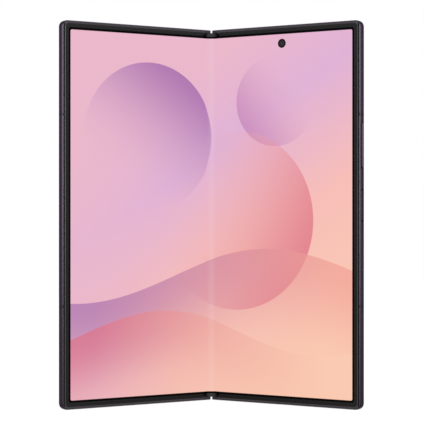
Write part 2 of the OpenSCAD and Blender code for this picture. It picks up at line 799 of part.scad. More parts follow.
// Frame of a half, with no openings of its own
module plain_frame() {
    difference() {
        union() {
            rail();
            slab(panel_back, inside_front)
                plate_outline(wall_start, half_width - rail_wall / 2, rail_wall / 2,
                    height - rail_wall / 2, corner_radius - rail_wall / 2, 0);
            block(pivot_x, wall_end, panel_back, inside_back, rail_wall / 2, height - rail_wall / 2);
            block(fold_edge, glass_start - seam, fold_lip_front, metal_back,
                rail_wall / 2, height - rail_wall / 2);
        }
        spine_room();
        nose_cut();
        arm_pockets();
        arm_screw_posts(arm_screw_radius, panel_back - over, inside_front + over);
        band_cuts();
        block(wall_start - over, wall_end + over, pivot_depth - ribbon_slot, pivot_depth + ribbon_slot,
            ribbon_z - ribbon_width / 2 - ribbon_clearance, ribbon_z + ribbon_width / 2 + ribbon_clearance);
    }
}

module band_cuts() {
    for (z = band_z)
        block(half_width - rail_wall, half_width + over, -over, thickness + over,
            z - band_width / 2, z + band_width / 2);
}

module antenna_bands() {
    for (z = band_z)
        bar(z - band_width / 2, z + band_width / 2)
            polygon([for (p = rail_section) [half_width - p[0], p[1]]]);
}

module key_opening(z, length, extra) {
    across(key_inner - over, half_width + over, key_y, z)
        slot_outline(length + 2 * extra, key_width + 2 * extra);
}

module sound_hole(x, up) {
    translate([x, sound_y, up ? height + over : -over])
        mirror([0, 0, up ? 1 : 0])
            cylinder(r = sound_hole_radius, h = rail_wall + 2 * over, $fn = small_fn);
}

module left_frame() {
    color(metal_colour) left_side() difference() {
        plain_frame();
        screw_holes(left_board_screws, board_screw_radius);
        for (x = earpiece_hole_x) sound_hole(x, true);
        tray_opening();
    }
}

module right_frame() {
    color(metal_colour) right_side() difference() {
        plain_frame();
        screw_holes(board_screws, board_screw_radius);
        key_opening(volume_z, volume_length, key_clearance);
        key_opening(power_z, power_length, key_clearance);
        for (x = speaker_hole_x) sound_hole(x, false);
        sound_hole(microphone_x, false);
        socket_room(socket_wall);
        post(inner_camera_x, inner_camera_z, inner_hole_radius, panel_back - over, inside_front + over);
    }
}

module left_antenna_bands() { color(dark_colour) left_side() antenna_bands(); }
module right_antenna_bands() { color(dark_colour) right_side() antenna_bands(); }

// Raised rim on three sides of the screen
module rim() {
    slab(0, rim_thickness) difference() {
        plate_outline(rim_start, half_width - lip_width, lip_width, height - lip_width,
            corner_radius - lip_width, 0);
        plate_outline(rim_start - over, half_width - lip_width - rim_width, lip_width + rim_end_width,
            height - lip_width - rim_end_width, rim_corner_radius, 0);
    }
}

module left_rim() { color(rim_colour) left_side() rim(); }
module right_rim() { color(rim_colour) right_side() rim(); }

module panel() {
    slab(panel_front, panel_back)
        plate_outline(panel_start, half_width - panel_inset, panel_inset, height - panel_inset,
            corner_radius - panel_inset, 0);
}

module left_display_panel() { color(screen_colour) left_side() panel(); }

module right_display_panel() {
    color(screen_colour) right_side() difference() {
        panel();
        post(inner_camera_x, inner_camera_z, inner_hole_radius, -over, thickness);
        socket_room(socket_wall);
    }
}

// Thin middle of the screen, bent between the two flat parts
module display_fold_zone() {
    xs = [for (i = [0:bend_steps]) panel_start * i / bend_steps];
    z0 = spine_end + cap_height + play;
    color(screen_colour) stand() bar(z0, height - z0)
        polygon(strip_outline(xs, panel_front, panel_front + fold_zone_thickness));
}

// Ribbon of wires through the spine, level with the pivots
module hinge_flex() {
    xs = concat([for (i = [0:bend_steps]) panel_start * i / bend_steps], [ribbon_end]);
    color(gold_colour) stand() bar(ribbon_z - ribbon_width / 2, ribbon_z + ribbon_width / 2)
        polygon(strip_outline(xs, pivot_depth - ribbon_thickness / 2, pivot_depth + ribbon_thickness / 2));
}

// Spine section: a shell with two round edges, open towards the screen
module spine_section(r, front) {
    intersection() {
        union() {
            translate([pivot_x, pivot_depth]) circle(r, $fn = round_fn);
            translate([-pivot_x, pivot_depth]) circle(r, $fn = round_fn);
            translate([-pivot_x, pivot_depth - r]) square([2 * pivot_x, 2 * r]);
        }
        translate([-pivot_x - r - over, front]) square([2 * (pivot_x + r + over), 2 * r + over]);
    }
}

module hinge_cover() {
    color(metal_colour) stand() difference() {
        union() {
            bar(spine_end, height - spine_end) difference() {
                spine_section(spine_radius, spine_side_front);
                spine_section(spine_bore, -over);
            }
            bar(spine_end, spine_end + spine_wall) spine_section(spine_radius, end_wall_front);
            bar(height - spine_end - spine_wall, height - spine_end)
                spine_section(spine_radius, end_wall_front);
        }
        for (z = spine_screw_z) post(0, z, spine_screw_radius, pivot_depth, spine_screw_end);
    }
}

module ear() {
    linear_extrude(ear_length) difference() {
        translate([-pivot_x - ear_side_wall, ear_front])
            square([2 * (pivot_x + ear_side_wall), base_front + root - ear_front]);
        for (side = [-1, 1]) {
            translate([side * pivot_x, pivot_depth])
                circle(shaft_radius + running_clearance, $fn = small_fn);
            translate([side * gear_pitch_radius, pivot_depth])
                circle(idler_radius + running_clearance, $fn = small_fn);
        }
    }
}

// Carrier that fills the spine and holds the shafts in its ears
module hinge_base() {
    color(steel_colour) stand() difference() {
        union() {
            bar(spine_end + spine_wall, height - spine_end - spine_wall)
                spine_section(spine_bore, base_front);
            at_hinge_modules() {
                ear();
                translate([0, 0, second_ear_from]) ear();
                translate([0, 0, third_ear_from]) ear();
            }
        }
        for (z = spine_screw_z) post(0, z, spine_screw_radius, pivot_depth, thickness);
    }
}

module hinge_screws() {
    color(steel_colour) stand() for (z = spine_screw_z) {
        post(0, z, spine_screw_radius, base_front - root, spine_screw_end);
        post(0, z, spine_screw_head, base_front - screw_head_height, base_front);
    }
}

// Stack of discs on each shaft, between the inner ears
module friction_discs() {
    color(steel_colour) stand() at_hinge_modules() for (side = [-1, 1])
        translate([side * pivot_x, pivot_depth, discs_from])
            linear_extrude(disc_count * disc_thickness) difference() {
                circle(knuckle_radius, $fn = small_fn);
                circle(shaft_radius + running_clearance, $fn = small_fn);
            }
}

// Dark piece over each end of the bend, hollowed towards the screen
module fold_cap(up) {
    dish_radius = (cap_half_width * cap_half_width + cap_hollow * cap_hollow) / (2 * cap_hollow);
    z0 = up ? height - spine_end - cap_height : spine_end;
    color(rim_colour) stand() bar(z0, z0 + cap_height) difference() {
        translate([-cap_half_width, cap_setback])
            square([2 * cap_half_width, end_wall_front - cap_setback]);
        translate([0, cap_setback + cap_hollow - dish_radius]) circle(dish_radius, $fn = 4 * round_fn);
    }
}

module fold_cap_top() { fold_cap(true); }
module fold_cap_bottom() { fold_cap(false); }

// Shaft with its timing gear in one piece; the phase keeps the train in mesh
module gear_shaft(phase) {
    at_hinge_modules() {
        pivot_rod(shaft_radius, 0, module_end);
        translate([pivot_x, pivot_depth, gear_from]) linear_extrude(gear_length)
            polygon(gear_points(phase));
    }
}

module left_gear_shafts() { color(steel_colour) left_side() gear_shaft(fold_angle); }

module right_gear_shafts() {
    color(steel_colour) right_side() gear_shaft(fold_angle + 180 / gear_teeth);
}

module idler_gears(side, phase) {
    stand() at_hinge_modules() translate([side * gear_pitch_radius, pivot_depth, 0]) {
        cylinder(r = idler_radius, h = second_ear_from + ear_length, $fn = small_fn);
        translate([0, 0, gear_from + axial_clearance]) linear_extrude(gear_length - axial_clearance)
            polygon(gear_points(phase));
    }
}

module left_idler_gears() { color(steel_colour) idler_gears(-1, 180 / gear_teeth); }
module right_idler_gears() { color(steel_colour) idler_gears(1, 0); }

// Arm that joins a shaft to the plate behind the screen
module hinge_arm() {
    difference() {
        union() {
            at_hinge_modules() {
                pivot_rod(knuckle_radius, knuckle_from, gear_from);
                block(pivot_x, arm_end, arm_front, arm_back, knuckle_from, gear_from);
            }
        }
        at_hinge_modules() pivot_rod(shaft_radius, 0, module_end);
        arm_screw_posts(arm_screw_radius, panel_back - over, thickness);
    }
}

module left_hinge_arms() { color(steel_colour) left_side() hinge_arm(); }
module right_hinge_arms() { color(steel_colour) right_side() hinge_arm(); }

module arm_screws() {
    arm_screw_posts(arm_screw_radius, panel_back, arm_back + screw_head_height);
    arm_screw_posts(arm_screw_head, arm_back, arm_back + screw_head_height);
}

module left_arm_screws() { color(steel_colour) left_side() arm_screws(); }
module right_arm_screws() { color(steel_colour) right_side() arm_screws(); }

// Back or cover glass with fine seams round it
module outer_glass() {
    slab(inside_back, thickness)
        plate_outline(glass_start, half_width - glass_inset - seam, glass_inset + seam,
            height - glass_inset - seam, corner_radius - glass_inset - seam, glass_fold_radius);
}

module cover_glass() { color(dark_colour) left_side() outer_glass(); }

module cover_display() {
    color(screen_colour) left_side() difference() {
        slab(cover_display_front, inside_back)
            plate_outline(inside_left, inside_right, inside_low, inside_high,
                cover_display_corner, cover_display_corner);
        post(cover_camera_x, cover_camera_z, cover_hole_radius, 0, thickness + over);
    }
}

// Square housing of a small camera
module small_camera(x, z, housing_back) {
    half = small_camera_side / 2;
    block(x - half, x + half, inside_front, housing_back, z - half, z + half);
}

module cover_camera() {
    housing_back = inside_front + cover_camera_thickness;
    color(dark_colour) left_side() {
        small_camera(cover_camera_x, cover_camera_z, housing_back);
        post(cover_camera_x, cover_camera_z, cover_hole_radius - cover_camera_gap,
            housing_back - root, inside_back);
    }
}

module back_glass() {
    color(glass_colour) right_side() difference() {
        outer_glass();
        slab(0, thickness + over) island_outline(island_radius + seam);
        post(flash_x, flash_z, flash_radius + seam, 0, thickness + over);
        socket_room(socket_wall);
    }
}

module island_outline(r) {
    for (z = [lens_z[0], lens_z[2]]) translate([island_x, z]) circle(r, $fn = round_fn);
    translate([island_x - r, lens_z[0]]) square([2 * r, lens_z[2] - lens_z[0]]);
}

module camera_island() {
    color(metal_colour) right_side() difference() {
        slab(inside_back, island_back) island_outline(island_radius);
        for (z = lens_z) post(island_x, z, barrel_radius + play, 0, ring_back + over);
    }
}

module camera_rings() {
    color(metal_colour) right_side() for (z = lens_z) difference() {
        post(island_x, z, ring_radius, island_back, ring_back);
        post(island_x, z, lens_radius, island_back - over, ring_back + over);
    }
}

module camera_lenses() {
    color(dark_colour) right_side() for (z = lens_z)
        post(island_x, z, lens_radius, lens_front, lens_back);
}

module camera_modules() {
    color(dark_colour) right_side() for (z = lens_z) {
        block(island_x - module_half, island_x + module_half, inside_front, inside_back,
            z - module_half, z + module_half);
        post(island_x, z, barrel_radius, inside_back - root, lens_front);
    }
}

module flash_lens() {
    half = flash_light_side / 2;
    color(lamp_colour) right_side() {
        post(flash_x, flash_z, flash_radius, inside_back - flash_seat, thickness + flash_proud);
        block(flash_x - half, flash_x + half, board_back, inside_back - flash_seat / 2,
            flash_z - half, flash_z + half);
    }
}

module inner_camera() {
    color(dark_colour) right_side() {
        post(inner_camera_x, inner_camera_z, inner_hole_radius - play / 2,
            panel_front + inner_window_depth, inside_front + root);
        small_camera(inner_camera_x, inner_camera_z, inside_front + inner_camera_thickness);
    }
}

// Battery pouch with its connector
module battery(pack_height, pack_back) {
    middle = (battery_left + battery_right) / 2;
    top = battery_bottom + pack_height;
    slab(inside_front, pack_back) battery_outline(pack_height);
    block(middle - connector_width / 2, middle + connector_width / 2,
        inside_front, inside_front + connector_thickness, top - root, top + connector_length);
}

module battery_outline(pack_height) {
    r = battery_corner;
    w = battery_right - battery_left;
    translate([battery_left, battery_bottom]) {
        translate([r, 0]) square([w - 2 * r, pack_height]);
        translate([0, r]) square([w, pack_height - 2 * r]);
        for (x = [r, w - r], z = [r, pack_height - r]) translate([x, z]) circle(r, $fn = small_fn);
    }
}

module left_battery() {
    color(battery_colour) left_side() battery(left_battery_height, cover_inside_back);
}

// The pack leaves room for the lowest camera module
module right_battery() {
    color(battery_colour) right_side() difference() {
        battery(right_battery_height, coil_front);
        block(island_x - module_half - battery_camera_gap, half_width, 0, thickness,
            lens_z[0] - module_half - battery_camera_gap, height);
    }
}

module board(x0, x1, z0, z1, screws) {
    difference() {
        block(x0, x1, inside_front, board_back, z0, z1);
        for (p = screws) post(p[0], p[1], board_screw_radius, 0, thickness);
    }
}

module left_board() {
    color(board_colour) left_side()
        board(board_left, left_board_right, left_board_low, left_board_high, left_board_screws);
}

module left_board_cans() {
    x0 = board_left + can_inset;
    can_width = (left_board_right - can_inset - x0 - can_gap) / 2;
    color(steel_colour) left_side() for (x = [x0, x0 + can_width + can_gap])
        block(x, x + can_width, board_back, cover_display_front - can_clearance,
            left_board_low + can_edge, left_board_high - can_edge);
}

module board_screw_set(places) {
    for (p = places) {
        post(p[0], p[1], board_screw_radius, panel_back, board_back + board_screw_height);
        post(p[0], p[1], board_screw_head, board_back, board_back + board_screw_height);
    }
}

module left_board_screws() { color(steel_colour) left_side() board_screw_set(left_board_screws); }

module main_board() {
    color(board_colour) right_side()
        board(board_left, board_right, board_low, board_high, board_screws);
}

module main_board_cans() {
    z0 = board_low + can_inset;
    can_height = (flash_z - flash_radius - can_flash_gap - z0 - can_gap) / 2;
    color(steel_colour) right_side() for (z = [z0, z0 + can_height + can_gap])
        block(board_left + can_inset, board_right - can_inset, board_back, inside_back - can_clearance,
            z, z + can_height);
}

module main_board_screws() { color(steel_colour) right_side() board_screw_set(board_screws); }

// Small board round the charging socket
module sub_board() {
    room = socket_width / 2 + socket_side_gap;
    color(board_colour) right_side() difference() {
        block(board_left, speaker_left - speaker_board_gap, inside_front, board_back,
            inside_low, inside_low + sub_board_height);
        block(socket_x - room, socket_x + room, 0, thickness,
            0, socket_start + socket_depth + socket_end_gap);
    }
}

module socket_outline(extra) {
    rotate(90) slot_outline(socket_width + 2 * extra, socket_mouth + 2 * extra);
}

// Room for the socket in the frame: the bare mouth, then the shell with its wall
module socket_room(wall) {
    translate([socket_x, socket_y, -over]) linear_extrude(rail_wall + 2 * over)
        socket_outline(0);
    translate([socket_x, socket_y, socket_start]) linear_extrude(socket_depth)
        socket_outline(wall);
}

module usb_c_port() {
    color(steel_colour) right_side() translate([socket_x, socket_y, socket_start]) {
        difference() {
            linear_extrude(socket_depth) socket_outline(socket_wall);
            translate([0, 0, -over])
                linear_extrude(socket_depth - socket_end_wall + over) socket_outline(0);
        }
        translate([-tongue_width / 2, -tongue_thickness / 2, tongue_setback])
            cube([tongue_width, tongue_thickness, socket_depth - socket_end_wall / 2 - tongue_setback]);
    }
}

module bottom_speaker() {
    low = rail_wall + speaker_rail_gap;
    color(dark_colour) right_side()
        block(speaker_left, inside_right - speaker_end_gap, inside_front, inside_back - speaker_back_gap,
            low, low + speaker_height);
}

module top_speaker() {
    top = height - rail_wall - speaker_rail_gap;
    last = len(earpiece_hole_x) - 1;
    color(dark_colour) left_side()
        block(earpiece_hole_x[0] - speaker_side, earpiece_hole_x[last] + speaker_side,
            inside_front, cover_inside_back, top - earpiece_height, top);
}

module haptic_motor() {
    color(steel_colour) left_side()
        block(haptic_x - haptic_width / 2, haptic_x + haptic_width / 2, inside_front, cover_inside_back,
            inside_low, inside_low + haptic_height);
}

module charging_coil() {
    coil_x = (battery_left + battery_right) / 2;
    coil_z = battery_bottom + right_battery_height / 2;
    color(copper_colour) right_side() difference() {
        post(coil_x, coil_z, coil_radius, coil_front, coil_front + coil_thickness);
        post(coil_x, coil_z, coil_bore, 0, thickness);
    }
}

module key_switches() {
    color(steel_colour) right_side() {
        block(switch_x - switch_height - switch_film, switch_x - switch_height,
            key_y - switch_film_width / 2, key_y + switch_film_width / 2,
            power_z - power_length / 2, volume_z + volume_length / 2);
        for (z = [power_z, volume_z - volume_length / 3, volume_z + volume_length / 3])
            translate([switch_x - switch_height, key_y, z]) rotate([0, 90, 0])
                cylinder(r = switch_radius, h = switch_height, $fn = small_fn);
    }
}

module key(z, length, proud) {
    across(flange_outer, half_width + proud, key_y, z) slot_outline(length, key_width);
    across(flange_inner, flange_outer, key_y, z)
        square([key_width - 2 * flange_side, length + 2 * flange_end], center = true);
}

module volume_rocker() { color(metal_colour) right_side() key(volume_z, volume_length, volume_proud); }
module power_key() { color(metal_colour) right_side() key(power_z, power_length, -power_recess); }

module microphones() {
    low = rail_wall + speaker_rail_gap;
    color(gold_colour) right_side()
        block(microphone_x - microphone_width / 2, microphone_x + microphone_width / 2,
            board_back, board_back + microphone_thickness, low, low + microphone_height);
}

// Bars that hold the phone shut
module magnets() {
    for (z = [magnet_bottom, magnet_bottom + magnet_pitch])
        block(magnet_left, magnet_right, inside_front, inside_front + magnet_thickness,
            z, z + magnet_length);
}

module left_magnets() { color(steel_colour) left_side() magnets(); }
module right_magnets() { color(steel_colour) right_side() magnets(); }

// Slot for the tray face and, behind it, for the narrower tray
module tray_opening() {
    translate([tray_x, tray_y, height - tray_face - play]) linear_extrude(tray_face + 2 * over)
        rotate(90) slot_outline(tray_width + 2 * key_clearance, tray_height + 2 * key_clearance);
    block(tray_x - tray_half - play, tray_x + tray_half + play, tray_front - play, tray_back + play,
        height - rail_wall - over, height);
}

module sim_tray() {
    color(metal_colour) left_side() difference() {
        union() {
            translate([tray_x, tray_y, height - tray_face]) linear_extrude(tray_face)
                rotate(90) slot_outline(tray_width, tray_height);
            block(tray_x - tray_half, tray_x + tray_half, tray_front, tray_back,
                tray_low, height - tray_face / 2);
        }
        block(tray_x - (card_width + play) / 2, tray_x + (card_width + play) / 2,
            tray_front + card_floor, thickness,
            tray_low + card_inset, tray_low + card_inset + card_length + play);
    }
}

module sim_card() {
    low = tray_low + card_inset + play / 2;
    front = tray_front + card_floor;
    color(gold_colour) left_side()
        block(tray_x - card_width / 2, tray_x + card_width / 2, front, front + card_thickness,
            low, low + card_length);
}

// Open cage that the tray slides into
module sim_reader() {
    x0 = tray_x - tray_half - play;
    x1 = tray_x + tray_half + play;
    color(steel_colour) left_side() difference() {
        block(x0 - reader_wall, x1 + reader_wall, inside_front, tray_back + play + reader_wall,
            reader_low, reader_high);
        block(x0, x1, tray_front - play, tray_back + play, reader_low - over, reader_high + over);
    }
}

hinge_cover();
hinge_base();
hinge_screws();
friction_discs();
fold_cap_top();
fold_cap_bottom();
display_fold_zone();
hinge_flex();
left_idler_gears();
right_idler_gears();
left_frame();
left_antenna_bands();
left_rim();
left_display_panel();
left_gear_shafts();
left_hinge_arms();
left_arm_screws();
cover_glass();
cover_display();
cover_camera();
left_battery();
left_board();
left_board_cans();
left_board_screws();
top_speaker();
sim_reader();
haptic_motor();
left_magnets();
sim_tray();
sim_card();
right_frame();
right_antenna_bands();
right_rim();
right_display_panel();
right_gear_shafts();
right_hinge_arms();
right_arm_screws();
back_glass();
camera_island();
camera_rings();
camera_lenses();
camera_modules();
flash_lens();
inner_camera();
right_battery();
main_board();
main_board_cans();
main_board_screws();
sub_board();
usb_c_port();
bottom_speaker();
charging_coil();
key_switches();
microphones();
right_magnets();
volume_rocker();
power_key();
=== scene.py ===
import json
import math

import bmesh
import bpy
from mathutils import Matrix, Vector

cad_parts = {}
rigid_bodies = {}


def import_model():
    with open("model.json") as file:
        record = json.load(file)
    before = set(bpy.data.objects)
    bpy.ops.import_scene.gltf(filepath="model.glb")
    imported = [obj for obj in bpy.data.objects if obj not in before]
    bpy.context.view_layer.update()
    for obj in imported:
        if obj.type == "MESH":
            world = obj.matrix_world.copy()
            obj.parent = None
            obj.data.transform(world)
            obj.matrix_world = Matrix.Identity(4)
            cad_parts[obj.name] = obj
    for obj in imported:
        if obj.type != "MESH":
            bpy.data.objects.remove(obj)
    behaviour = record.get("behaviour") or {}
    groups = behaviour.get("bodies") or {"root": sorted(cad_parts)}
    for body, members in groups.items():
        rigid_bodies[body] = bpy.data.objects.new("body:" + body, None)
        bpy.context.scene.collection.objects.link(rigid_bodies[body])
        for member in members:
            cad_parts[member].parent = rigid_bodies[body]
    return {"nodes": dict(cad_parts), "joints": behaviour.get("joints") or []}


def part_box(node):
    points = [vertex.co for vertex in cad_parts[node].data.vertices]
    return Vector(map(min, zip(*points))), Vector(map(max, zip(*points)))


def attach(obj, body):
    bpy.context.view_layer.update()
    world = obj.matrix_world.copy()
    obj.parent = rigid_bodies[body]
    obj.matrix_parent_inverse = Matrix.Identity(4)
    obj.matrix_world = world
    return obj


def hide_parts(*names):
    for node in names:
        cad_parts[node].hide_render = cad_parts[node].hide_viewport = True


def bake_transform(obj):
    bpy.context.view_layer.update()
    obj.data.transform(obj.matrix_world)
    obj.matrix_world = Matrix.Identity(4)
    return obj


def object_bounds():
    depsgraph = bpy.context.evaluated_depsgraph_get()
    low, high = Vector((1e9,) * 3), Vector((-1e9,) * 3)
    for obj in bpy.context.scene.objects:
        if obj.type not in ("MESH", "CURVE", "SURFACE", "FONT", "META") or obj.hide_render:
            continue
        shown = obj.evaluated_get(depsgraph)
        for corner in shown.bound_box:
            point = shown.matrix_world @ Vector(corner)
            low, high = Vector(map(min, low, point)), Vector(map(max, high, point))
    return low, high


# The phone stands half open. Sizes and places are in metres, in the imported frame
for leftover in list(bpy.data.objects):
    bpy.data.objects.remove(leftover)
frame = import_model()
cad_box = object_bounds()

scene = bpy.context.scene
scene.view_settings.view_transform = "Standard"
MM = 0.001
TURN = 2 * math.pi
UP = (0, 0, 1)

cad_low, cad_high = cad_box
middle_height = (cad_low.z + cad_high.z) / 2
joints = {joint["name"]: joint for joint in frame["joints"]}

# Camera, with lengths in pixels of the photograph where the name says so
IMAGE_HEIGHT_PIXELS = 430
LENS_PIXELS = 1612.0
SHIFT_PIXELS = 0.6
CAMERA_FROM_HINGE = 691.0 * MM
SENSOR_MM = 36
NEAREST, FARTHEST = 0.01, 20

pivot_y = joints["right_fold"]["pos_m"][1]

camera = bpy.data.objects.new("camera", bpy.data.cameras.new("camera"))
scene.collection.objects.link(camera)
scene.camera = camera
camera.location = (0, pivot_y - CAMERA_FROM_HINGE, middle_height)
camera.rotation_euler = (TURN / 4, 0, 0)
camera.data.sensor_width = SENSOR_MM
camera.data.sensor_height = SENSOR_MM
camera.data.sensor_fit = "VERTICAL"
camera.data.lens = SENSOR_MM * LENS_PIXELS / IMAGE_HEIGHT_PIXELS
camera.data.shift_x = SHIFT_PIXELS / IMAGE_HEIGHT_PIXELS
camera.data.clip_start = NEAREST
camera.data.clip_end = FARTHEST


# Node trees
class Signal:
    """One output socket. Arithmetic on it adds Math nodes to its tree."""

    def __init__(self, wiring, socket):
        self.wiring, self.socket = wiring, socket

    def math(self, operation, *others):
        values = dict(enumerate((self, *others)))
        return self.wiring.node("ShaderNodeMath", {"operation": operation}, values)

    def vector(self, operation, *others, output="Vector"):
        values = dict(enumerate((self, *others)))
        made = self.wiring.node("ShaderNodeVectorMath", {"operation": operation}, values)
        return made.output(output)

    def output(self, name):
        return Signal(self.wiring, self.socket.node.outputs[name])

    def smooth(self, start, end):
        """0 up to start and 1 from end, with a soft step between them."""
        sockets = {"Value": self, "From Min": start, "From Max": end}
        return self.wiring.node(
            "ShaderNodeMapRange", {"interpolation_type": "SMOOTHSTEP"}, sockets
        )

    def __add__(self, other):
        return self.math("ADD", other)

    def __sub__(self, other):
        return self.math("SUBTRACT", other)

    def __rsub__(self, other):
        return self.math("MULTIPLY_ADD", -1.0, other)

    def __mul__(self, other):
        return self.math("MULTIPLY", other)

    def __truediv__(self, other):
        return self.math("DIVIDE", other)

    __radd__ = __add__
    __rmul__ = __mul__


class Wiring:
    """A node tree and the one way in which nodes are added to it."""

    def __init__(self, tree):
        self.tree = tree
        self.rest_place = None

    def node(self, kind, settings=None, sockets=None):
        """A new node's first output. Its settings come before the values of its sockets."""
        made = self.tree.nodes.new(kind)
        for name, value in (settings or {}).items():
            if name == "stops":
                set_stops(made.color_ramp, value)
            else:
                setattr(made, name, value)
        for name, value in (sockets or {}).items():
            self.feed(self.find(made.inputs, name), value)
        return Signal(self, self.find(made.outputs, 0))

    def find(self, sockets, name):
        """The socket in use that has this name, or this place in the row."""
        used = [socket for socket in sockets if socket.enabled]
        if isinstance(name, int):
            return used[name]
        return next(socket for socket in used if socket.name == name)

    def feed(self, socket, value):
        """Links a signal to a socket, or sets the socket to a constant."""
        if isinstance(value, Signal):
            self.tree.links.new(value.socket, socket)
        elif isinstance(value, tuple) and len(value) == 3 and socket.type == "RGBA":
            socket.default_value = (*value, 1)
        else:
            socket.default_value = value

    def mix(self, first, second, share):
        """A colour between two colours."""
        sockets = {"Factor": share, "A": first, "B": second}
        return self.node("ShaderNodeMix", {"data_type": "RGBA"}, sockets)

    def place(self):
        """The point of a piece as it lies at rest."""
        if self.rest_place is None:
            self.rest_place = self.node("ShaderNodeTexCoord").output("Object")
        return self.rest_place

    def along(self, direction, start=0.0):
        """How far the point lies along a direction."""
        distance = self.place().vector("DOT_PRODUCT", tuple(direction), output="Value")
        return distance - start if start else distance

    def height(self):
        """How high the point lies."""
        return self.along(UP)

    def noise(self, scale, detail=2.0, stretch=None):
        """Noise from 0 to 1, with scale in blotches per metre."""
        where = self.place()
        if stretch:
            where = where.vector("MULTIPLY", stretch)
        sockets = {"Vector": where, "Scale": scale, "Detail": detail}
        return self.node("ShaderNodeTexNoise", None, sockets)

    def ramp(self, value, stops):
        return self.node("ShaderNodeValToRGB", {"stops": stops}, {"Fac": value})

    def bump(self, height, distance, strength=1.0):
        sockets = {"Height": height, "Distance": distance, "Strength": strength}
        return self.node("ShaderNodeBump", None, sockets)


def set_stops(ramp, stops):
    """Colour stops of a ramp: (position, colour) pairs."""
    while len(ramp.elements) < len(stops):
        ramp.elements.new(1.0)
    for element, (position, colour) in zip(ramp.elements, stops):
        element.position = position
        element.color = (*colour, 1)


def linear(*levels):
    """A colour written in display levels from 0 to 255, as light."""
    shares = [level / 255 for level in levels]
    return tuple(v / 12.92 if v <= 0.04045 else ((v + 0.055) / 1.055) ** 2.4 for v in shares)


class Finish(Wiring):
    """A material with one Principled shader. Constants are set on the shader itself."""

    def __init__(self, name, constants):
        self.material = bpy.data.materials.new(name)
        self.material.use_nodes = True
        super().__init__(self.material.node_tree)
        self.shader = self.tree.nodes["Principled BSDF"]
        for socket, value in constants.items():
            self.feed(self.shader.inputs[socket], value)

    def wear(self, **varying):
        """Feeds what changes over the surface, and gives the finished material."""
        for name, value in varying.items():
            socket = name.replace("_", " ").title()
            self.feed(self.shader.inputs[socket], value)
        return self.material


# Halves
class Half:
    """One half of the phone, measured flat: x outward from the fold, y screen to back, z up."""

    def __init__(self, side, joint, rim):
        self.side = side
        self.body = "right_half" if side > 0 else "left_half"
        self.word = "right" if side > 0 else "left"
        self.pivot = Vector(joint["pos_m"])
        self.turn = math.radians(-joint["range_deg"][0])
        cosine, sine = math.cos(self.turn), math.sin(self.turn)
        self.outward = Vector((side * cosine, -sine, 0))
        self.backward = Vector((side * sine, cosine, 0))
        self.fold_x = abs(self.pivot.x)
        self.fold_y = 0.0
        self.fold_y = -min(self.flat(v.co).y for v in frame["nodes"][rim].data.vertices)

    def flat(self, point):
        """The flat coordinates of a point of the frame."""
        away = point - self.pivot
        x = self.fold_x + away.dot(self.outward)
        return Vector((x, self.fold_y + away.dot(self.backward), point.z))

    def matrix(self):
        """Takes a mesh made flat to its place in the frame."""
        start = self.pivot - self.fold_x * self.outward - self.fold_y * self.backward
        made = Matrix.Identity(4)
        for row in range(3):
            up = 1.0 if row == 2 else 0.0
            made[row] = (self.outward[row], self.backward[row], up, 0.0 if up else start[row])
        return made

    def box(self, node):
        """Lowest and highest flat corner of a CAD node."""
        points = [self.flat(v.co) for v in frame["nodes"][node].data.vertices]
        spans = list(zip(*points))
        return Vector([min(span) for span in spans]), Vector([max(span) for span in spans])

    def centre(self, node):
        """Middle of a CAD node's flat box."""
        low_corner, high_corner = self.box(node)
        return (low_corner + high_corner) / 2

    def flat_x(self, wiring):
        """The flat x of the shaded point."""
        start = self.pivot.dot(self.outward) - self.fold_x
        return wiring.along(self.outward, start)

    def flat_y(self, wiring):
        """The flat y of the shaded point."""
        start = self.pivot.dot(self.backward) - self.fold_y
        return wiring.along(self.backward, start)


left = Half(-1, joints["left_fold"], "left_rim")
right = Half(1, joints["right_fold"], "right_rim")
halves = (left, right)


# Floor, surroundings and lamps
FLOOR_SIZE = 12.0
FLOOR_GREY = 0.9
SHADE_SHARE = 0.16
GLOW_LEVEL = 1.06
SURROUNDINGS_LEVEL = 0.75
# Name, place and size in metres, and watts
LAMPS = (
    ("left_strip", (-1.2, -0.06, 0.3), (0.34, 1.1), 9),
    ("right_strip", (1.2, -0.06, 0.3), (0.34, 1.1), 8),
    ("overhead", (0, -0.4, 1.2), (1.0, 0.6), 6),
    ("right_front", (0.72, -1.15, 0.2), (0.3, 0.7), 5),
)


def seen_directly(wiring):
    """1 for what the camera, a reflection or a view through glass meets."""
    path = wiring.node("ShaderNodeLightPath")
    seen = path.output("Is Camera Ray").math("MAXIMUM", path.output("Is Glossy Ray"))
    return seen.math("MAXIMUM", path.output("Is Transmission Ray"))


def make_surroundings():
    scene.world = bpy.data.worlds.new("studio_white")
    scene.world.use_nodes = True
    wiring = Wiring(scene.world.node_tree)
    background = scene.world.node_tree.nodes["Background"]
    background.inputs["Color"].default_value = (1, 1, 1, 1)
    strength = SURROUNDINGS_LEVEL + (1 - SURROUNDINGS_LEVEL) * seen_directly(wiring)
    wiring.feed(background.inputs["Strength"], strength)


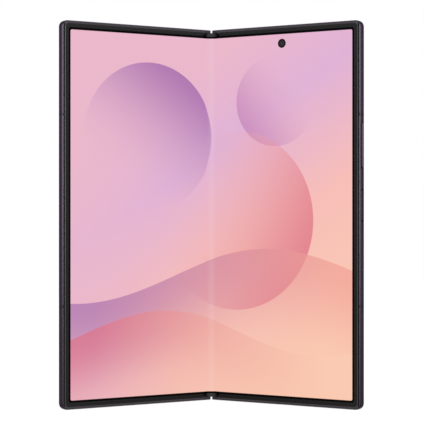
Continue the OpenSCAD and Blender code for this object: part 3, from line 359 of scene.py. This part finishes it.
def make_floor():
    mesh = bpy.data.meshes.new("studio_floor")
    half = FLOOR_SIZE / 2
    corners = [(x * half, y * half, 0) for x, y in ((-1, -1), (1, -1), (1, 1), (-1, 1))]
    mesh.from_pydata(corners, [], [(0, 1, 2, 3)])
    floor = bpy.data.objects.new("studio_floor", mesh)
    scene.collection.objects.link(floor)
    material = bpy.data.materials.new("studio_floor")
    material.use_nodes = True
    wiring = Wiring(material.node_tree)
    material.node_tree.nodes.remove(material.node_tree.nodes["Principled BSDF"])
    matt = wiring.node("ShaderNodeBsdfDiffuse", None, {"Color": (FLOOR_GREY,) * 3})
    glow = wiring.node("ShaderNodeEmission", None, {"Strength": GLOW_LEVEL})
    share = seen_directly(wiring) * (1 - SHADE_SHARE)
    surface = wiring.node("ShaderNodeMixShader", None, {0: share, 1: matt, 2: glow})
    wiring.feed(material.node_tree.nodes["Material Output"].inputs["Surface"], surface)
    mesh.materials.append(material)


def make_lamp(name, place, size, power):
    """An area lamp that looks at the middle of the phone."""
    light = bpy.data.lights.new(name, "AREA")
    light.shape = "RECTANGLE"
    light.size, light.size_y = size
    light.energy = power
    lamp = bpy.data.objects.new(name, light)
    scene.collection.objects.link(lamp)
    lamp.location = place
    towards_phone = Vector((0, 0, middle_height)) - Vector(place)
    lamp.rotation_euler = towards_phone.to_track_quat("-Z", "Y").to_euler()


make_surroundings()
make_floor()
for lamp_row in LAMPS:
    make_lamp(*lamp_row)


# Shapes drawn by the finishes
def from_point(finish, half, middle):
    """Distance across the face of a half from a point on it."""
    dx = half.flat_x(finish) - middle.x
    dz = finish.height() - middle.z
    return (dx * dx + dz * dz).math("SQRT")


def past_corner(across, up, reach, bottom, top, radius):
    """Distance past the centres of a rounded rectangle's corners; its outline is at the radius."""
    half_height = (top - bottom) / 2
    past_x = (across.math("ABSOLUTE") - (reach - radius)).math("MAXIMUM", 0.0)
    past_z = (up - (bottom + half_height)).math("ABSOLUTE") - (half_height - radius)
    past_z = past_z.math("MAXIMUM", 0.0)
    return (past_x * past_x + past_z * past_z).math("SQRT")


# Rail, spine, rim and caps. Depths are behind the front of the rim, and pairs are soft steps
DARK_EDGE_TINT = (0.5, 0.5, 0.5)
RAIL_METAL = {"Metallic": 1.0, "Specular Tint": DARK_EDGE_TINT}
# Painted shade on the step between rail and rim
STEP_SHADE = linear(5, 4, 5)
STEP_BLUR = 0.1 * MM
STEP_DEPTH = (0.14 * MM, 0.22 * MM)
# Facet beside the rim: a painted highlight on its front part, painted shade towards the side
FACET_START, FACET_END = (0.08 * MM, 0.12 * MM), (1.15 * MM, 1.25 * MM)
FACET_PAINTED_HIGHLIGHT, FACET_PAINTED_SHADE = linear(66, 58, 68), linear(38, 32, 40)
FACET_TURN = (0.5 * MM, 0.7 * MM)
DARK_PLASTIC = (linear(9, 9, 9), linear(13, 13, 13))
RIM_SIDE_WIDTH, RIM_END_WIDTH = 1.84 * MM, 2.08 * MM
RIM_OUTER_CORNER, RIM_INNER_CORNER = 1.87 * MM, 1.0 * MM
RIM_GLOSS_START, RIM_GLOSS_FULL = 0.5 * MM, 0.3 * MM
CAP_GLOSS = (0.5 * MM, 2.4 * MM)


def beside_rim_shade(finish, colour):
    """Painted shade on the narrow step between rail and rim, which the light hardly reaches."""
    rim_edge = right.box("right_rim")[1].x
    for half in halves:
        beside_rim = half.flat_x(finish).smooth(rim_edge - STEP_BLUR, rim_edge)
        at_front = 1 - half.flat_y(finish).smooth(*STEP_DEPTH)
        colour = finish.mix(colour, STEP_SHADE, beside_rim * at_front)
    return colour


def anodised_frame():
    """Dark violet anodised aluminium, blasted fine. The facet at the front has a painted highlight
    on its front part and painted shade towards the side.
    """
    finish = Finish("anodised_frame", RAIL_METAL)
    grain = finish.noise(9000, 3.0)
    cloud = finish.noise(60, 2.0)
    colour = finish.mix(linear(46, 39, 48), linear(54, 46, 56), cloud)
    for half in halves:
        depth = half.flat_y(finish)
        on_facet = depth.smooth(*FACET_START) * (1 - depth.smooth(*FACET_END))
        towards_side = depth.smooth(*FACET_TURN)
        # painted highlight on the front of the facet, then painted shade towards the side
        colour = finish.mix(colour, FACET_PAINTED_HIGHLIGHT, on_facet * (1 - towards_side))
        colour = finish.mix(colour, FACET_PAINTED_SHADE, on_facet * towards_side)
    # painted shade on the step beside the rim
    colour = beside_rim_shade(finish, colour)
    bump = finish.bump(grain, 0.004 * MM, 0.5)
    return finish.wear(base_color=colour, roughness=0.26 + 0.1 * grain, normal=bump)


def spine_metal():
    """The same metal on the spine, drawn along the fold."""
    finish = Finish("spine_metal", RAIL_METAL)
    streaks = finish.noise(1500, 2.0, stretch=(6, 6, 0.02))
    colour = finish.mix(linear(44, 38, 46), linear(52, 45, 54), streaks)
    return finish.wear(base_color=colour, roughness=0.22 + 0.14 * streaks)


def soft_rim():
    """Dark elastomer of the raised rim, glossier along its outer edge."""
    finish = Finish("soft_rim", {"Specular IOR Level": 0.14, "Coat Roughness": 0.2})
    grain = finish.noise(5000, 2.0)
    colour = finish.mix(*DARK_PLASTIC, grain)
    bump = finish.bump(grain, 0.006 * MM, 0.6)
    low_corner, high_corner = right.box("right_rim")
    across = left.flat_x(finish).math("MAXIMUM", right.flat_x(finish))
    corners = (high_corner.x, low_corner.z, high_corner.z, RIM_OUTER_CORNER)
    past = past_corner(across, finish.height(), *corners)
    edge = past.smooth(RIM_OUTER_CORNER - RIM_GLOSS_START, RIM_OUTER_CORNER - RIM_GLOSS_FULL)
    roughness = 0.42 + 0.12 * grain
    return finish.wear(base_color=colour, roughness=roughness, normal=bump, coat_weight=edge)


def fold_cap_finish():
    """Black plastic of the end caps, polished in the middle of its hollow."""
    finish = Finish("fold_cap", {"Specular IOR Level": 0.06, "Coat Roughness": 0.3})
    grain = finish.noise(5000, 2.0)
    colour = finish.mix(*DARK_PLASTIC, grain)
    polished = 1 - finish.along((1, 0, 0)).math("ABSOLUTE").smooth(*CAP_GLOSS)
    roughness = 0.45 + 0.1 * grain
    return finish.wear(base_color=colour, roughness=roughness, coat_weight=polished * 0.8)


def antenna_plastic():
    """Filled plastic with a metallic coat in the colour of the frame, a little darker."""
    finish = Finish("antenna_plastic", RAIL_METAL)
    grain = finish.noise(4000, 2.0)
    colour = finish.mix(linear(38, 32, 40), linear(44, 37, 46), grain)
    # painted shade on the step beside the rim
    colour = beside_rim_shade(finish, colour)
    return finish.wear(base_color=colour, roughness=0.28 + 0.1 * grain)


# Wallpaper, in metres on the open screen
PINK, LILAC, PEACH = linear(235, 184, 203), linear(224, 178, 214), linear(251, 203, 178)
ROSE, VIOLET, CORAL = linear(247, 190, 184), linear(163, 104, 172), linear(222, 112, 132)
PLUM, APRICOT = linear(196, 132, 186), linear(240, 158, 148)
SKY_STOPS = [(0.12, PINK), (0.34, LILAC), (0.62, ROSE), (0.98, PEACH)]
SKY_TOP, WARMER_DOWN, WARMER_ACROSS = 0.93, 5.6, 3.4
GLOW_EDGE, GLOW_SPREAD, GLOW_OPACITY = 0.1, 14.0, 0.7
DUNE_SHADE_SPREAD, DUNE_VEIL = 7.0, 0.08
OUTLINE_BLUR = 0.15 * MM
# Middle, radius, direction of the shade, its two colours and opacity
MOONS = (
    ((-0.031, 0.112), 0.031, (0.55, 0.83), (LILAC, VIOLET), 0.85),
    ((0.032, 0.127), 0.019, (-0.8, -0.6), (PINK, PLUM), 0.75),
    ((0.012, 0.077), 0.038, (0.9, -0.42), (ROSE, CORAL), 0.8),
)
# Height and swell of the crest, waves in radians per metre, their start, depth, colours, opacity
DUNES = (
    (0.054, 0.011, 34.0, 0.6, 0.042, (VIOLET, APRICOT), 0.62),
    (0.030, 0.009, 41.0, 2.6, 0.034, (CORAL, PEACH), 0.6),
)


def wallpaper(finish, across, up):
    """Moons over dunes in pink, lilac and peach. Across and up are metres on the open screen."""

    def moon(under, middle, radius, towards, shades, opacity):
        dx, dy = across - middle[0], up - middle[1]
        distance = (dx * dx + dy * dy).math("SQRT")
        inside = 1 - distance.smooth(radius - OUTLINE_BLUR, radius + OUTLINE_BLUR)
        slope = (dx * towards[0] + dy * towards[1]) / (2 * radius) + 0.5
        shade = finish.ramp(slope, [(0.0, shades[0]), (1.0, shades[1])])
        return finish.mix(under, shade, inside * slope.smooth(0.05, 1.0) * opacity)

    def dune(under, height, swell, waves, start, depth, shades, opacity):
        crest = (across * waves + start).math("SINE") * swell + height
        below = crest - up
        inside = below.smooth(-OUTLINE_BLUR, OUTLINE_BLUR)
        fade = 1 - below.smooth(0.0, depth)
        slope = across * DUNE_SHADE_SPREAD + 0.5
        shade = finish.ramp(slope, [(0.1, shades[0]), (0.9, shades[1])])
        return finish.mix(under, shade, inside * (fade * opacity + DUNE_VEIL))

    warmth = (up * -WARMER_DOWN + across * WARMER_ACROSS + SKY_TOP).math("MAXIMUM", 0.0)
    colour = finish.ramp(warmth, SKY_STOPS)
    left_glow = (across * -GLOW_SPREAD - GLOW_EDGE).smooth(0.0, 1.0)
    colour = finish.mix(colour, PINK, left_glow * GLOW_OPACITY)
    for moon_row in MOONS:
        colour = moon(colour, *moon_row)
    for dune_row in DUNES:
        colour = dune(colour, *dune_row)
    return colour


# Lit screens, with borders measured from the edges of the panel and the crease from the fold.
# Along the crease the screen carries a painted sheen
BORDER_CORNER, BORDER_BLUR = 0.65 * MM, 0.1 * MM
SIDE_BORDER, END_BORDER = 2.0 * MM, 2.18 * MM
CREASE_HALF_WIDTH, CREASE_PAINTED_SHEEN = 2.4 * MM, 0.06
SCREEN_OFF = (0.0005, 0.0005, 0.0005)
panel_low, panel_high = right.box("right_display_panel")
screen_reach = panel_high.x - SIDE_BORDER
screen_bottom, screen_top = panel_low.z + END_BORDER, panel_high.z - END_BORDER


def lit_screen(name, find_place):
    """The folding screen: it glows with the wallpaper inside a black border."""
    constants = {
        "Base Color": SCREEN_OFF, "Specular IOR Level": 0.02, "Roughness": 0.16,
        "Emission Strength": 1.0,
    }
    finish = Finish(name, constants)
    across, up = find_place(finish)
    past = past_corner(across, up, screen_reach, screen_bottom, screen_top, BORDER_CORNER)
    lit = 1 - past.smooth(BORDER_CORNER - BORDER_BLUR, BORDER_CORNER + BORDER_BLUR)
    # Painted sheen: the screen's glow is lightened towards white along the crease
    crease_sheen = 1 - across.math("ABSOLUTE").smooth(0.0, CREASE_HALF_WIDTH)
    colour = finish.mix(wallpaper(finish, across, up), (1.0, 1.0, 1.0), crease_sheen * CREASE_PAINTED_SHEEN)
    return finish.wear(emission_color=finish.mix((0.0, 0.0, 0.0), colour, lit))


def panel_place(half):
    """Open-screen coordinates on a flat panel."""

    def find(finish):
        return half.flat_x(finish) * float(half.side), finish.height()

    return find


def strip_place(finish):
    """Open-screen coordinates that a bending strip carries with it."""
    settings = {"attribute_name": "open_place", "attribute_type": "GEOMETRY"}
    place = finish.node("ShaderNodeAttribute", settings).output("Vector")
    parts = finish.node("ShaderNodeSeparateXYZ", None, {"Vector": place})
    return parts.output("X"), parts.output("Z")


# Other finishes
DARKER_METAL, DARKER_PLASTIC = 0.86, 0.82
COIL_PITCH = 0.55 * MM
FILM_TRACK_PITCH = 0.4 * MM
COVER_SCREEN_MARGIN, COVER_SCREEN_BLUR = 1.1 * MM, 0.05 * MM
WINDOW_RING_INNER, WINDOW_RING_OUTER = (1.35 * MM, 1.4 * MM), (1.6 * MM, 1.65 * MM)
WINDOW_LENS = (0.75 * MM, 0.85 * MM)


def plain_metal(name, level, roughness, stretch=None):
    """Machined or stamped metal with fine drawn lines."""
    finish = Finish(name, {"Metallic": 1.0})
    lines = finish.noise(2500, 2.0, stretch=stretch)
    colour = finish.mix(linear(*level), linear(*(v * DARKER_METAL for v in level)), lines)
    return finish.wear(base_color=colour, roughness=roughness + 0.12 * lines)


def moulded(name, level, roughness=0.5, specular=0.4):
    """Moulded or coated surface with a fine texture."""
    finish = Finish(name, {"Specular IOR Level": specular})
    grain = finish.noise(4500, 2.0)
    colour = finish.mix(linear(*level), linear(*(v * DARKER_PLASTIC for v in level)), grain)
    bump = finish.bump(grain, 0.008 * MM, 0.5)
    return finish.wear(base_color=colour, roughness=roughness + 0.1 * grain, normal=bump)


def cover_glass_finish():
    """Black glass over the cover side screen, with the camera's window in it."""
    finish = Finish("cover_glass", {"Specular IOR Level": 0.14})
    screen_low, screen_high = left.box("cover_display")
    centre, reach = (screen_low + screen_high) / 2, (screen_high - screen_low) / 2
    off_centre = (left.flat_x(finish) - centre.x).math("ABSOLUTE")
    beside = off_centre - (reach.x - COVER_SCREEN_MARGIN)
    off_middle = (finish.height() - centre.z).math("ABSOLUTE")
    above = off_middle - (reach.z - COVER_SCREEN_MARGIN)
    outside = beside.math("MAXIMUM", above)
    screen_area = 1 - outside.smooth(-COVER_SCREEN_BLUR, COVER_SCREEN_BLUR)
    colour = finish.mix((0.002, 0.002, 0.002), (0.006, 0.006, 0.007), screen_area)
    distance = from_point(finish, left, left.centre("cover_camera"))
    ring = distance.smooth(*WINDOW_RING_INNER) * (1 - distance.smooth(*WINDOW_RING_OUTER))
    colour = finish.mix(colour, (0.02, 0.02, 0.022), ring)
    lens = 1 - distance.smooth(*WINDOW_LENS)
    colour = finish.mix(colour, linear(30, 26, 52), lens)
    return finish.wear(base_color=colour, roughness=0.08 + 0.05 * screen_area)


def back_glass_finish():
    """Etched satin glass over a violet-black coat."""
    finish = Finish("back_glass", {"Coat Weight": 0.25, "Coat Roughness": 0.3, "Metallic": 0.55})
    etch = finish.noise(7000, 3.0)
    cloud = finish.noise(25, 1.0)
    colour = finish.mix(linear(52, 43, 56), linear(60, 50, 64), cloud)
    bump = finish.bump(etch, 0.003 * MM, 0.5)
    return finish.wear(base_color=colour, roughness=0.36 + 0.08 * etch, normal=bump)


def lens_glass():
    """Coated glass over a dark barrel, with a painted violet sheen of the coating at glancing
    views.
    """
    constants = {"Coat Weight": 1.0, "Coat Roughness": 0.02, "Roughness": 0.08}
    finish = Finish("lens_glass", constants)
    # painted sheen: violet towards glancing views, in place of the coating's reflection
    sheen = finish.node("ShaderNodeLayerWeight", None, {"Blend": 0.35}).output("Facing")
    colour = finish.mix((0.003, 0.003, 0.006), linear(44, 34, 86), sheen * sheen)
    return finish.wear(base_color=colour)


def flash_cover():
    """Pale yellow diffuser with the emitters behind it."""
    finish = Finish("flash_cover", {"Coat Weight": 0.6, "Coat Roughness": 0.1})
    cells = finish.noise(900, 1.0)
    colour = finish.mix(linear(236, 226, 190), linear(222, 205, 150), cells)
    return finish.wear(base_color=colour, roughness=0.28 + 0.1 * cells)


def battery_pouch():
    """Grey laminate foil, faintly dented."""
    finish = Finish("battery_pouch", {"Metallic": 0.7})
    dents = finish.noise(140, 2.0)
    colour = finish.mix(linear(58, 59, 62), linear(74, 75, 79), dents)
    bump = finish.bump(dents, 0.1 * MM, 0.4)
    return finish.wear(base_color=colour, roughness=0.34 + 0.1 * dents, normal=bump)


def circuit_board():
    """Solder mask over a maze of tracks."""
    finish = Finish("circuit_board", {"Specular IOR Level": 0.5})
    settings = {"feature": "DISTANCE_TO_EDGE"}
    sockets = {"Vector": finish.place(), "Scale": 700.0}
    edge = finish.node("ShaderNodeTexVoronoi", settings, sockets).output("Distance")
    tracks = 1 - edge.smooth(0.02, 0.07)
    colour = finish.mix(linear(14, 44, 38), linear(30, 84, 66), tracks)
    bump = finish.bump(tracks, 0.03 * MM, 0.6)
    return finish.wear(base_color=colour, roughness=0.36 + 0.1 * tracks, normal=bump)


def copper_coil():
    """Flat winding of lacquered wire, turn beside turn."""
    finish = Finish("copper_coil", {"Metallic": 1.0})
    distance = from_point(finish, right, right.centre("charging_coil"))
    turns = (distance * (TURN / COIL_PITCH)).math("SINE") * 0.5 + 0.5
    colour = finish.mix(linear(120, 62, 34), linear(206, 124, 76), turns)
    bump = finish.bump(turns, 0.08 * MM, 0.8)
    return finish.wear(base_color=colour, roughness=0.3 + 0.1 * turns, normal=bump)


def flex_film():
    """Amber film with copper tracks along it."""
    finish = Finish("flex_film", {"Specular IOR Level": 0.5})
    tracks = (finish.height() * (TURN / FILM_TRACK_PITCH)).math("SINE").smooth(-0.2, 0.2)
    colour = finish.mix(linear(86, 44, 12), linear(150, 88, 34), tracks)
    return finish.wear(base_color=colour, roughness=0.3 + 0.1 * tracks)


# Finish of each slot in the record, and of pieces that are dressed by name
finishes = {
    "anodised_frame": anodised_frame(),
    "spine_metal": spine_metal(),
    "soft_rim": soft_rim(),
    "antenna_plastic": antenna_plastic(),
    "dark_glass": cover_glass_finish(),
    "back_glass_finish": back_glass_finish(),
    "lens_glass": lens_glass(),
    "flash_cover": flash_cover(),
    "steel": plain_metal("steel", (176, 176, 180), 0.26, (1, 1, 8)),
    "battery_pouch": battery_pouch(),
    "circuit_board": circuit_board(),
    "shield_can": plain_metal("shield_can", (192, 190, 184), 0.34, (1, 1, 0.1)),
    "copper": copper_coil(),
    "black_module": moulded("black_module", (19, 19, 21), 0.45),
    "flex_film": flex_film(),
    "card_plastic": moulded("card_plastic", (226, 226, 222), 0.4),
    "magnet_metal": plain_metal("magnet_metal", (150, 150, 156), 0.3),
    "ring_metal": plain_metal("ring_metal", (66, 55, 69), 0.2),
    "lens_bezel": moulded("lens_bezel", (12, 12, 13), 0.4, 0.08),
    "inner_ring": moulded("inner_ring", (3, 3, 3), 0.5, 0.02),
    "inner_eye": moulded("inner_eye", (34, 34, 34), 0.3, 0.1),
    # The small inner camera lens is coloured lighter violet as a painted glint of reflections in
    # the lens
    "inner_lens_painted_glint": moulded("inner_lens_painted_glint", (44, 42, 58), 0.2, 0.15),
    "blackened_steel": plain_metal("blackened_steel", (18, 17, 19), 0.5),
    "fold_cap": fold_cap_finish(),
    "contact_gold": plain_metal("contact_gold", (214, 178, 104), 0.28),
}
screen_finishes = {
    half.body: lit_screen(f"screen_{half.word}", panel_place(half)) for half in halves
}
strip_finish = lit_screen("screen_fold", strip_place)


def dress(node, material):
    """Gives a CAD node its finish."""
    slots = frame["nodes"][node].data.materials
    slots.clear()
    slots.append(material)


for node, obj in frame["nodes"].items():
    slot = obj.data.materials[0].name.split(".")[0]
    if slot in finishes:
        dress(node, finishes[slot])
for half in halves:
    dress(f"{half.word}_display_panel", screen_finishes[half.body])
dress("hinge_base", finishes["blackened_steel"])
for node in ("fold_cap_top", "fold_cap_bottom"):
    dress(node, finishes["fold_cap"])


# Pieces
SHARP_ANGLE = math.radians(35)
LATHE_STEPS = 72


def new_piece(name, mesh, body, material):
    """A piece from a mesh. Without a body here, it is left unattached."""
    mesh.materials.append(material)
    piece = bpy.data.objects.new(name, mesh)
    scene.collection.objects.link(piece)
    if body:
        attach(piece, body)
    return piece


def soft_step(x):
    """0 up to 0 and 1 from 1, with a soft step between them."""
    x = max(0.0, min(1.0, x))
    return x * x * (3 - 2 * x)


def turned(point, pivot, angle):
    """A point turned about a vertical axis."""
    cosine, sine = math.cos(angle), math.sin(angle)
    dx, dy = point.x - pivot.x, point.y - pivot.y
    return Vector((pivot.x + dx * cosine - dy * sine, pivot.y + dx * sine + dy * cosine, point.z))


def loft(name, loops, ring=False):
    """Faces between loops of equally many points, with end faces unless they form a ring."""
    made = bmesh.new()
    rows = [[made.verts.new(point) for point in loop] for loop in loops]
    for near, far in zip(rows, rows[1:] + rows[:1] if ring else rows[1:]):
        for i in range(len(near)):
            made.faces.new((near[i - 1], near[i], far[i], far[i - 1]))
    if not ring:
        made.faces.new(rows[0])
        made.faces.new(rows[-1])
    bmesh.ops.recalc_face_normals(made, faces=made.faces)
    mesh = bpy.data.meshes.new(name)
    made.to_mesh(mesh)
    made.free()
    mesh.polygons.foreach_set("use_smooth", [True] * len(mesh.polygons))
    mesh.set_sharp_from_angle(angle=SHARP_ANGLE)
    return mesh


def lathe(name, half, middle, profile, ring=False):
    """A turned shape about a line through both faces. The profile gives radius and depth in mm."""
    matrix = half.matrix()
    angles = [TURN * i / LATHE_STEPS for i in range(LATHE_STEPS)]
    circle = [(MM * math.cos(angle), MM * math.sin(angle)) for angle in angles]
    loops = [
        [
            matrix @ Vector((middle.x + radius * across, depth * MM, middle.z + radius * up))
            for across, up in circle
        ]
        for radius, depth in profile
    ]
    return loft(name, loops, ring)


# Strips that bend at the fold. A bent point settles in rounds, as its turn depends on its place
STRIP_STEPS = 26
BEND_ROUNDS = 30
SCREEN_FOLD_THICKNESS = 0.3 * MM
RIBBON_THICKNESS, RIBBON_LENGTH = 0.1 * MM, 9.7 * MM


def bending_strip(name, half, node, reach, length, front, thickness, material):
    """A strip out from the fold line, built bent as it lies at rest; it would be flat with the
    phone open. The bend ends at its reach.
    """
    centre = Vector((0, half.pivot.y - half.fold_y, 0))
    bottom, top = (corner.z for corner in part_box(node))
    start = centre + Vector((0, front, 0))
    end = half.matrix() @ Vector((reach, front, 0))
    line = end - start

    def bent(x, y):
        """Where a point of the flat strip is at rest."""
        flat = centre + Vector((half.side * x, y, 0))
        point = flat
        for _ in range(BEND_ROUNDS):
            share = soft_step((point - start).dot(line) / line.length_squared)
            point = turned(flat, half.pivot, -half.side * half.turn * share)
        return point

    steps = [length * step / STRIP_STEPS for step in range(STRIP_STEPS + 1)]
    loops = []
    for x in steps:
        face, back = bent(x, front), bent(x, front + thickness)
        corners = ((face, bottom), (face, top), (back, top), (back, bottom))
        loops.append([(point.x, point.y, z) for point, z in corners])
    mesh = loft(name, loops)
    places = mesh.attributes.new("open_place", "FLOAT_VECTOR", "POINT")
    for place, vertex in zip(places.data, mesh.vertices):
        place.vector = (half.side * steps[vertex.index // 4], 0, vertex.co.z)
    piece = new_piece(name, mesh, None, material)
    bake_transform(piece)
    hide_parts(node)


for half in halves:
    panel_start = half.box(f"{half.word}_display_panel")[0]
    bending_strip(
        f"screen_fold_{half.word}", half, "display_fold_zone", panel_start.x, panel_start.x,
        panel_start.y, SCREEN_FOLD_THICKNESS, strip_finish,
    )
    bending_strip(
        f"hinge_ribbon_{half.word}", half, "hinge_flex", panel_start.x, RIBBON_LENGTH,
        half.fold_y - RIBBON_THICKNESS / 2, RIBBON_THICKNESS, finishes["flex_film"],
    )

# Rim round the screen: share of its width from the outer edge, and depth in mm
RIM_SECTION = (
    (0.0, 0.3), (0.0, 0.17), (0.015, 0.11), (0.05, 0.058), (0.1, 0.024), (0.17, 0.005),
    (0.24, 0.0), (0.8, 0.0), (0.9, 0.008), (0.96, 0.034), (0.99, 0.075), (1.0, 0.12), (1.0, 0.3),
)
RIM_END_ROUNDING = 0.45 * MM
RIM_END_ANGLES = (80, 64, 48, 32, 16)
CORNER_STEPS = 14


def rim_mesh(half, node):
    """The rim along the top, the side and the bottom, with rounded ends at the fold."""
    low_corner, high_corner = half.box(node)
    outer, inner = [], []
    for degrees in (*RIM_END_ANGLES, 0):
        angle = math.radians(degrees)
        x = low_corner.x + RIM_END_ROUNDING * (1 - math.sin(angle))
        shrink = RIM_END_ROUNDING * (1 - math.cos(angle))
        outer.append((x, high_corner.z - shrink))
        inner.append((x, high_corner.z - RIM_END_WIDTH + shrink))
    for step in range(CORNER_STEPS + 1):
        angle = math.radians(90 * step / CORNER_STEPS)
        for path, side, end, radius in (
            (outer, 0.0, 0.0, RIM_OUTER_CORNER),
            (inner, RIM_SIDE_WIDTH, RIM_END_WIDTH, RIM_INNER_CORNER),
        ):
            path.append((
                high_corner.x - side - radius + radius * math.sin(angle),
                high_corner.z - end - radius + radius * math.cos(angle),
            ))
    for path in (outer, inner):
        path += [(x, low_corner.z + high_corner.z - z) for x, z in reversed(path)]
    matrix = half.matrix()
    return loft(node, [
        [
            matrix @ Vector((x0 + (x1 - x0) * share, depth * MM, z0 + (z1 - z0) * share))
            for share, depth in RIM_SECTION
        ]
        for (x0, z0), (x1, z1) in zip(outer, inner)
    ])


for half in halves:
    node = f"{half.word}_rim"
    mesh = rim_mesh(half, node)
    rim = new_piece(f"{node}_moulding", mesh, half.body, finishes["soft_rim"])
    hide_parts(node)


# Turned pieces: radius and depth in mm
RING_PROFILE = (
    (8.0, 5.4), (8.0, 6.4), (7.96, 6.5), (7.86, 6.57), (7.74, 6.6),
    (6.96, 6.6), (6.78, 6.56), (6.62, 6.44), (6.5, 6.26), (6.5, 5.4),
)
BEZEL_PROFILE = (
    (6.5, 5.9), (6.5, 6.36), (6.44, 6.4), (6.2, 6.4), (6.14, 6.3), (5.3, 6.27), (5.24, 6.12),
    (4.3, 6.08), (4.24, 5.99), (3.4, 5.97), (3.34, 5.9),
)
EYE_PROFILE = (
    (3.36, 5.9), (3.36, 6.0), (3.1, 6.1), (2.5, 6.18), (1.7, 6.23), (0.9, 6.255), (0.2, 6.26),
)
FLASH_PROFILE = (
    (2.2, 1.7), (2.2, 4.14), (2.12, 4.22), (1.86, 4.22), (1.84, 4.13), (1.5, 4.2), (1.48, 4.11),
    (1.12, 4.19), (1.1, 4.1), (0.74, 4.18), (0.72, 4.1), (0.3, 4.17), (0.1, 4.18),
)
INNER_RING_PROFILE = (
    (1.88, 0.36), (1.88, 0.325), (1.81, 0.302), (1.4, 0.302), (1.33, 0.33), (1.33, 0.36),
)
INNER_EYE_PROFILE = ((1.35, 0.36), (1.35, 0.35), (1.0, 0.344), (0.6, 0.34), (0.2, 0.338))
INNER_LENS_PROFILE = ((0.45, 0.342), (0.43, 0.332), (0.32, 0.322), (0.18, 0.314), (0.06, 0.311))


def turned_piece(name, middle, profile, finish, node=None, ring=False):
    """A turned piece of the right half. It stands for a CAD node where one is named."""
    mesh = lathe(name, right, middle, profile, ring)
    piece = new_piece(name, mesh, right.body, finishes[finish])
    if node:
        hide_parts(node)


rings_low, rings_high = right.box("camera_rings")
ring_radius = (rings_high.x - rings_low.x) / 2
ring_heights = {
    "low": rings_low.z + ring_radius,
    "middle": (rings_low.z + rings_high.z) / 2,
    "high": rings_high.z - ring_radius,
}
for place, height in ring_heights.items():
    middle = Vector((rings_low.x + ring_radius, 0, height))
    for name, profile, slot, finish, node, ring in (
        ("camera_ring", RING_PROFILE, "anodised_frame", "ring_metal", "camera_rings", True),
        ("lens_bezel", BEZEL_PROFILE, "black_module", "lens_bezel", "camera_lenses", True),
        ("lens_eye", EYE_PROFILE, "lens_glass", "lens_glass", "camera_lenses", False),
    ):
        turned_piece(f"{name}_{place}", middle, profile, finish, node, ring)
flash_middle = right.centre("flash_lens")
turned_piece(
    "flash_diffuser", flash_middle, FLASH_PROFILE, "flash_cover", "flash_lens"
)
inner_middle = right.centre("inner_camera")
for name, profile, slot, finish, ring in (
    ("inner_camera_ring", INNER_RING_PROFILE, "black_module", "inner_ring", True),
    ("inner_camera_eye", INNER_EYE_PROFILE, "lens_glass", "inner_eye", False),
    ("inner_camera_lens", INNER_LENS_PROFILE, "lens_glass", "inner_lens_painted_glint", False),
):
    turned_piece(name, inner_middle, profile, finish, ring=ring)


# Keys in the rail
KEY_END_STEPS = 10
FLANGE_THICKNESS = 0.4 * MM
FLANGE_INSET = 0.1
# Depth below the face, and how much narrower and shorter than the node, in mm
CROWNED_FACE = (
    (0.8, 0.04, 0.62), (0.21, 0.04, 0.62), (0.19, 0.06, 0.64), (0.13, 0.24, 0.82),
    (0.07, 0.43, 1.0), (0.02, 0.62, 1.2), (0.0, 0.76, 1.4), (0.0, 0.94, 1.6),
)
FLAT_FACE = (
    (0.3, 0.04, 0.76), (0.14, 0.06, 0.78), (0.05, 0.11, 0.84), (0.01, 0.2, 0.95),
    (0.0, 0.32, 1.1), (0.0, 0.8, 1.7),
)


def stadium(middle_y, middle_z, half_width, half_length):
    """Points round a long slot shape, as depth and height."""
    points = []
    for turn, end in ((0, 1), (math.pi, -1)):
        for step in range(KEY_END_STEPS + 1):
            angle = turn + math.pi * step / KEY_END_STEPS
            points.append((
                middle_y + half_width * math.cos(angle),
                middle_z + end * (half_length - half_width) + half_width * math.sin(angle),
            ))
    return points


def key_mesh(node, face_levels):
    """A key with a flange inside the rail and a shaped face."""
    low_corner, high_corner = right.box(node)
    middle = (low_corner + high_corner) / 2
    reach = (high_corner - low_corner) / 2
    flange = low_corner.x + FLANGE_THICKNESS
    levels = [(x, FLANGE_INSET, 0.0) for x in (low_corner.x, flange)]
    levels.append((flange, *face_levels[0][1:]))
    for depth, inset, shorter in face_levels:
        levels.append((high_corner.x - depth * MM, inset, shorter))
    matrix = right.matrix()
    return loft(node, [
        [
            matrix @ Vector((x, y, z))
            for y, z in stadium(middle.y, middle.z, reach.y - inset * MM, reach.z - shorter * MM)
        ]
        for x, inset, shorter in levels
    ])


for node, body, face_levels in (
    ("volume_rocker", "volume_button", CROWNED_FACE),
    ("power_key", "power_button", FLAT_FACE),
):
    mesh = key_mesh(node, face_levels)
    key = new_piece(f"{node}_body", mesh, body, finishes["anodised_frame"])
    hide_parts(node)


# Contacts on the tongue of the charging socket
CONTACT_COUNT = 12
CONTACT_PITCH, CONTACT_WIDTH, CONTACT_LENGTH = 0.5 * MM, 0.3 * MM, 2.9 * MM
CONTACT_HEIGHT = 0.02 * MM
CONTACT_START = 0.9 * MM
TONGUE_HALF_THICKNESS = 0.35 * MM

port_bottom = right.box("usb_c_port")[0].z
port_middle = right.centre("usb_c_port")
contact_bottom = port_bottom + CONTACT_START
contact_top = contact_bottom + CONTACT_LENGTH
right_matrix = right.matrix()
for face, word in ((-1, "front"), (1, "back")):
    surface = port_middle.y + face * TONGUE_HALF_THICKNESS
    depths = (surface - face * CONTACT_HEIGHT, surface + face * CONTACT_HEIGHT)
    for i in range(CONTACT_COUNT):
        x = port_middle.x + (i - (CONTACT_COUNT - 1) / 2) * CONTACT_PITCH
        near, far = x - CONTACT_WIDTH / 2, x + CONTACT_WIDTH / 2
        outline = (
            (near, contact_bottom), (far, contact_bottom), (far, contact_top), (near, contact_top),
        )
        loops = [
            [right_matrix @ Vector((across, depth, up)) for across, up in outline]
            for depth in depths
        ]
        name = f"socket_contact_{word}_{i + 1}"
        new_piece(name, loft(name, loops), right.body, finishes["contact_gold"])
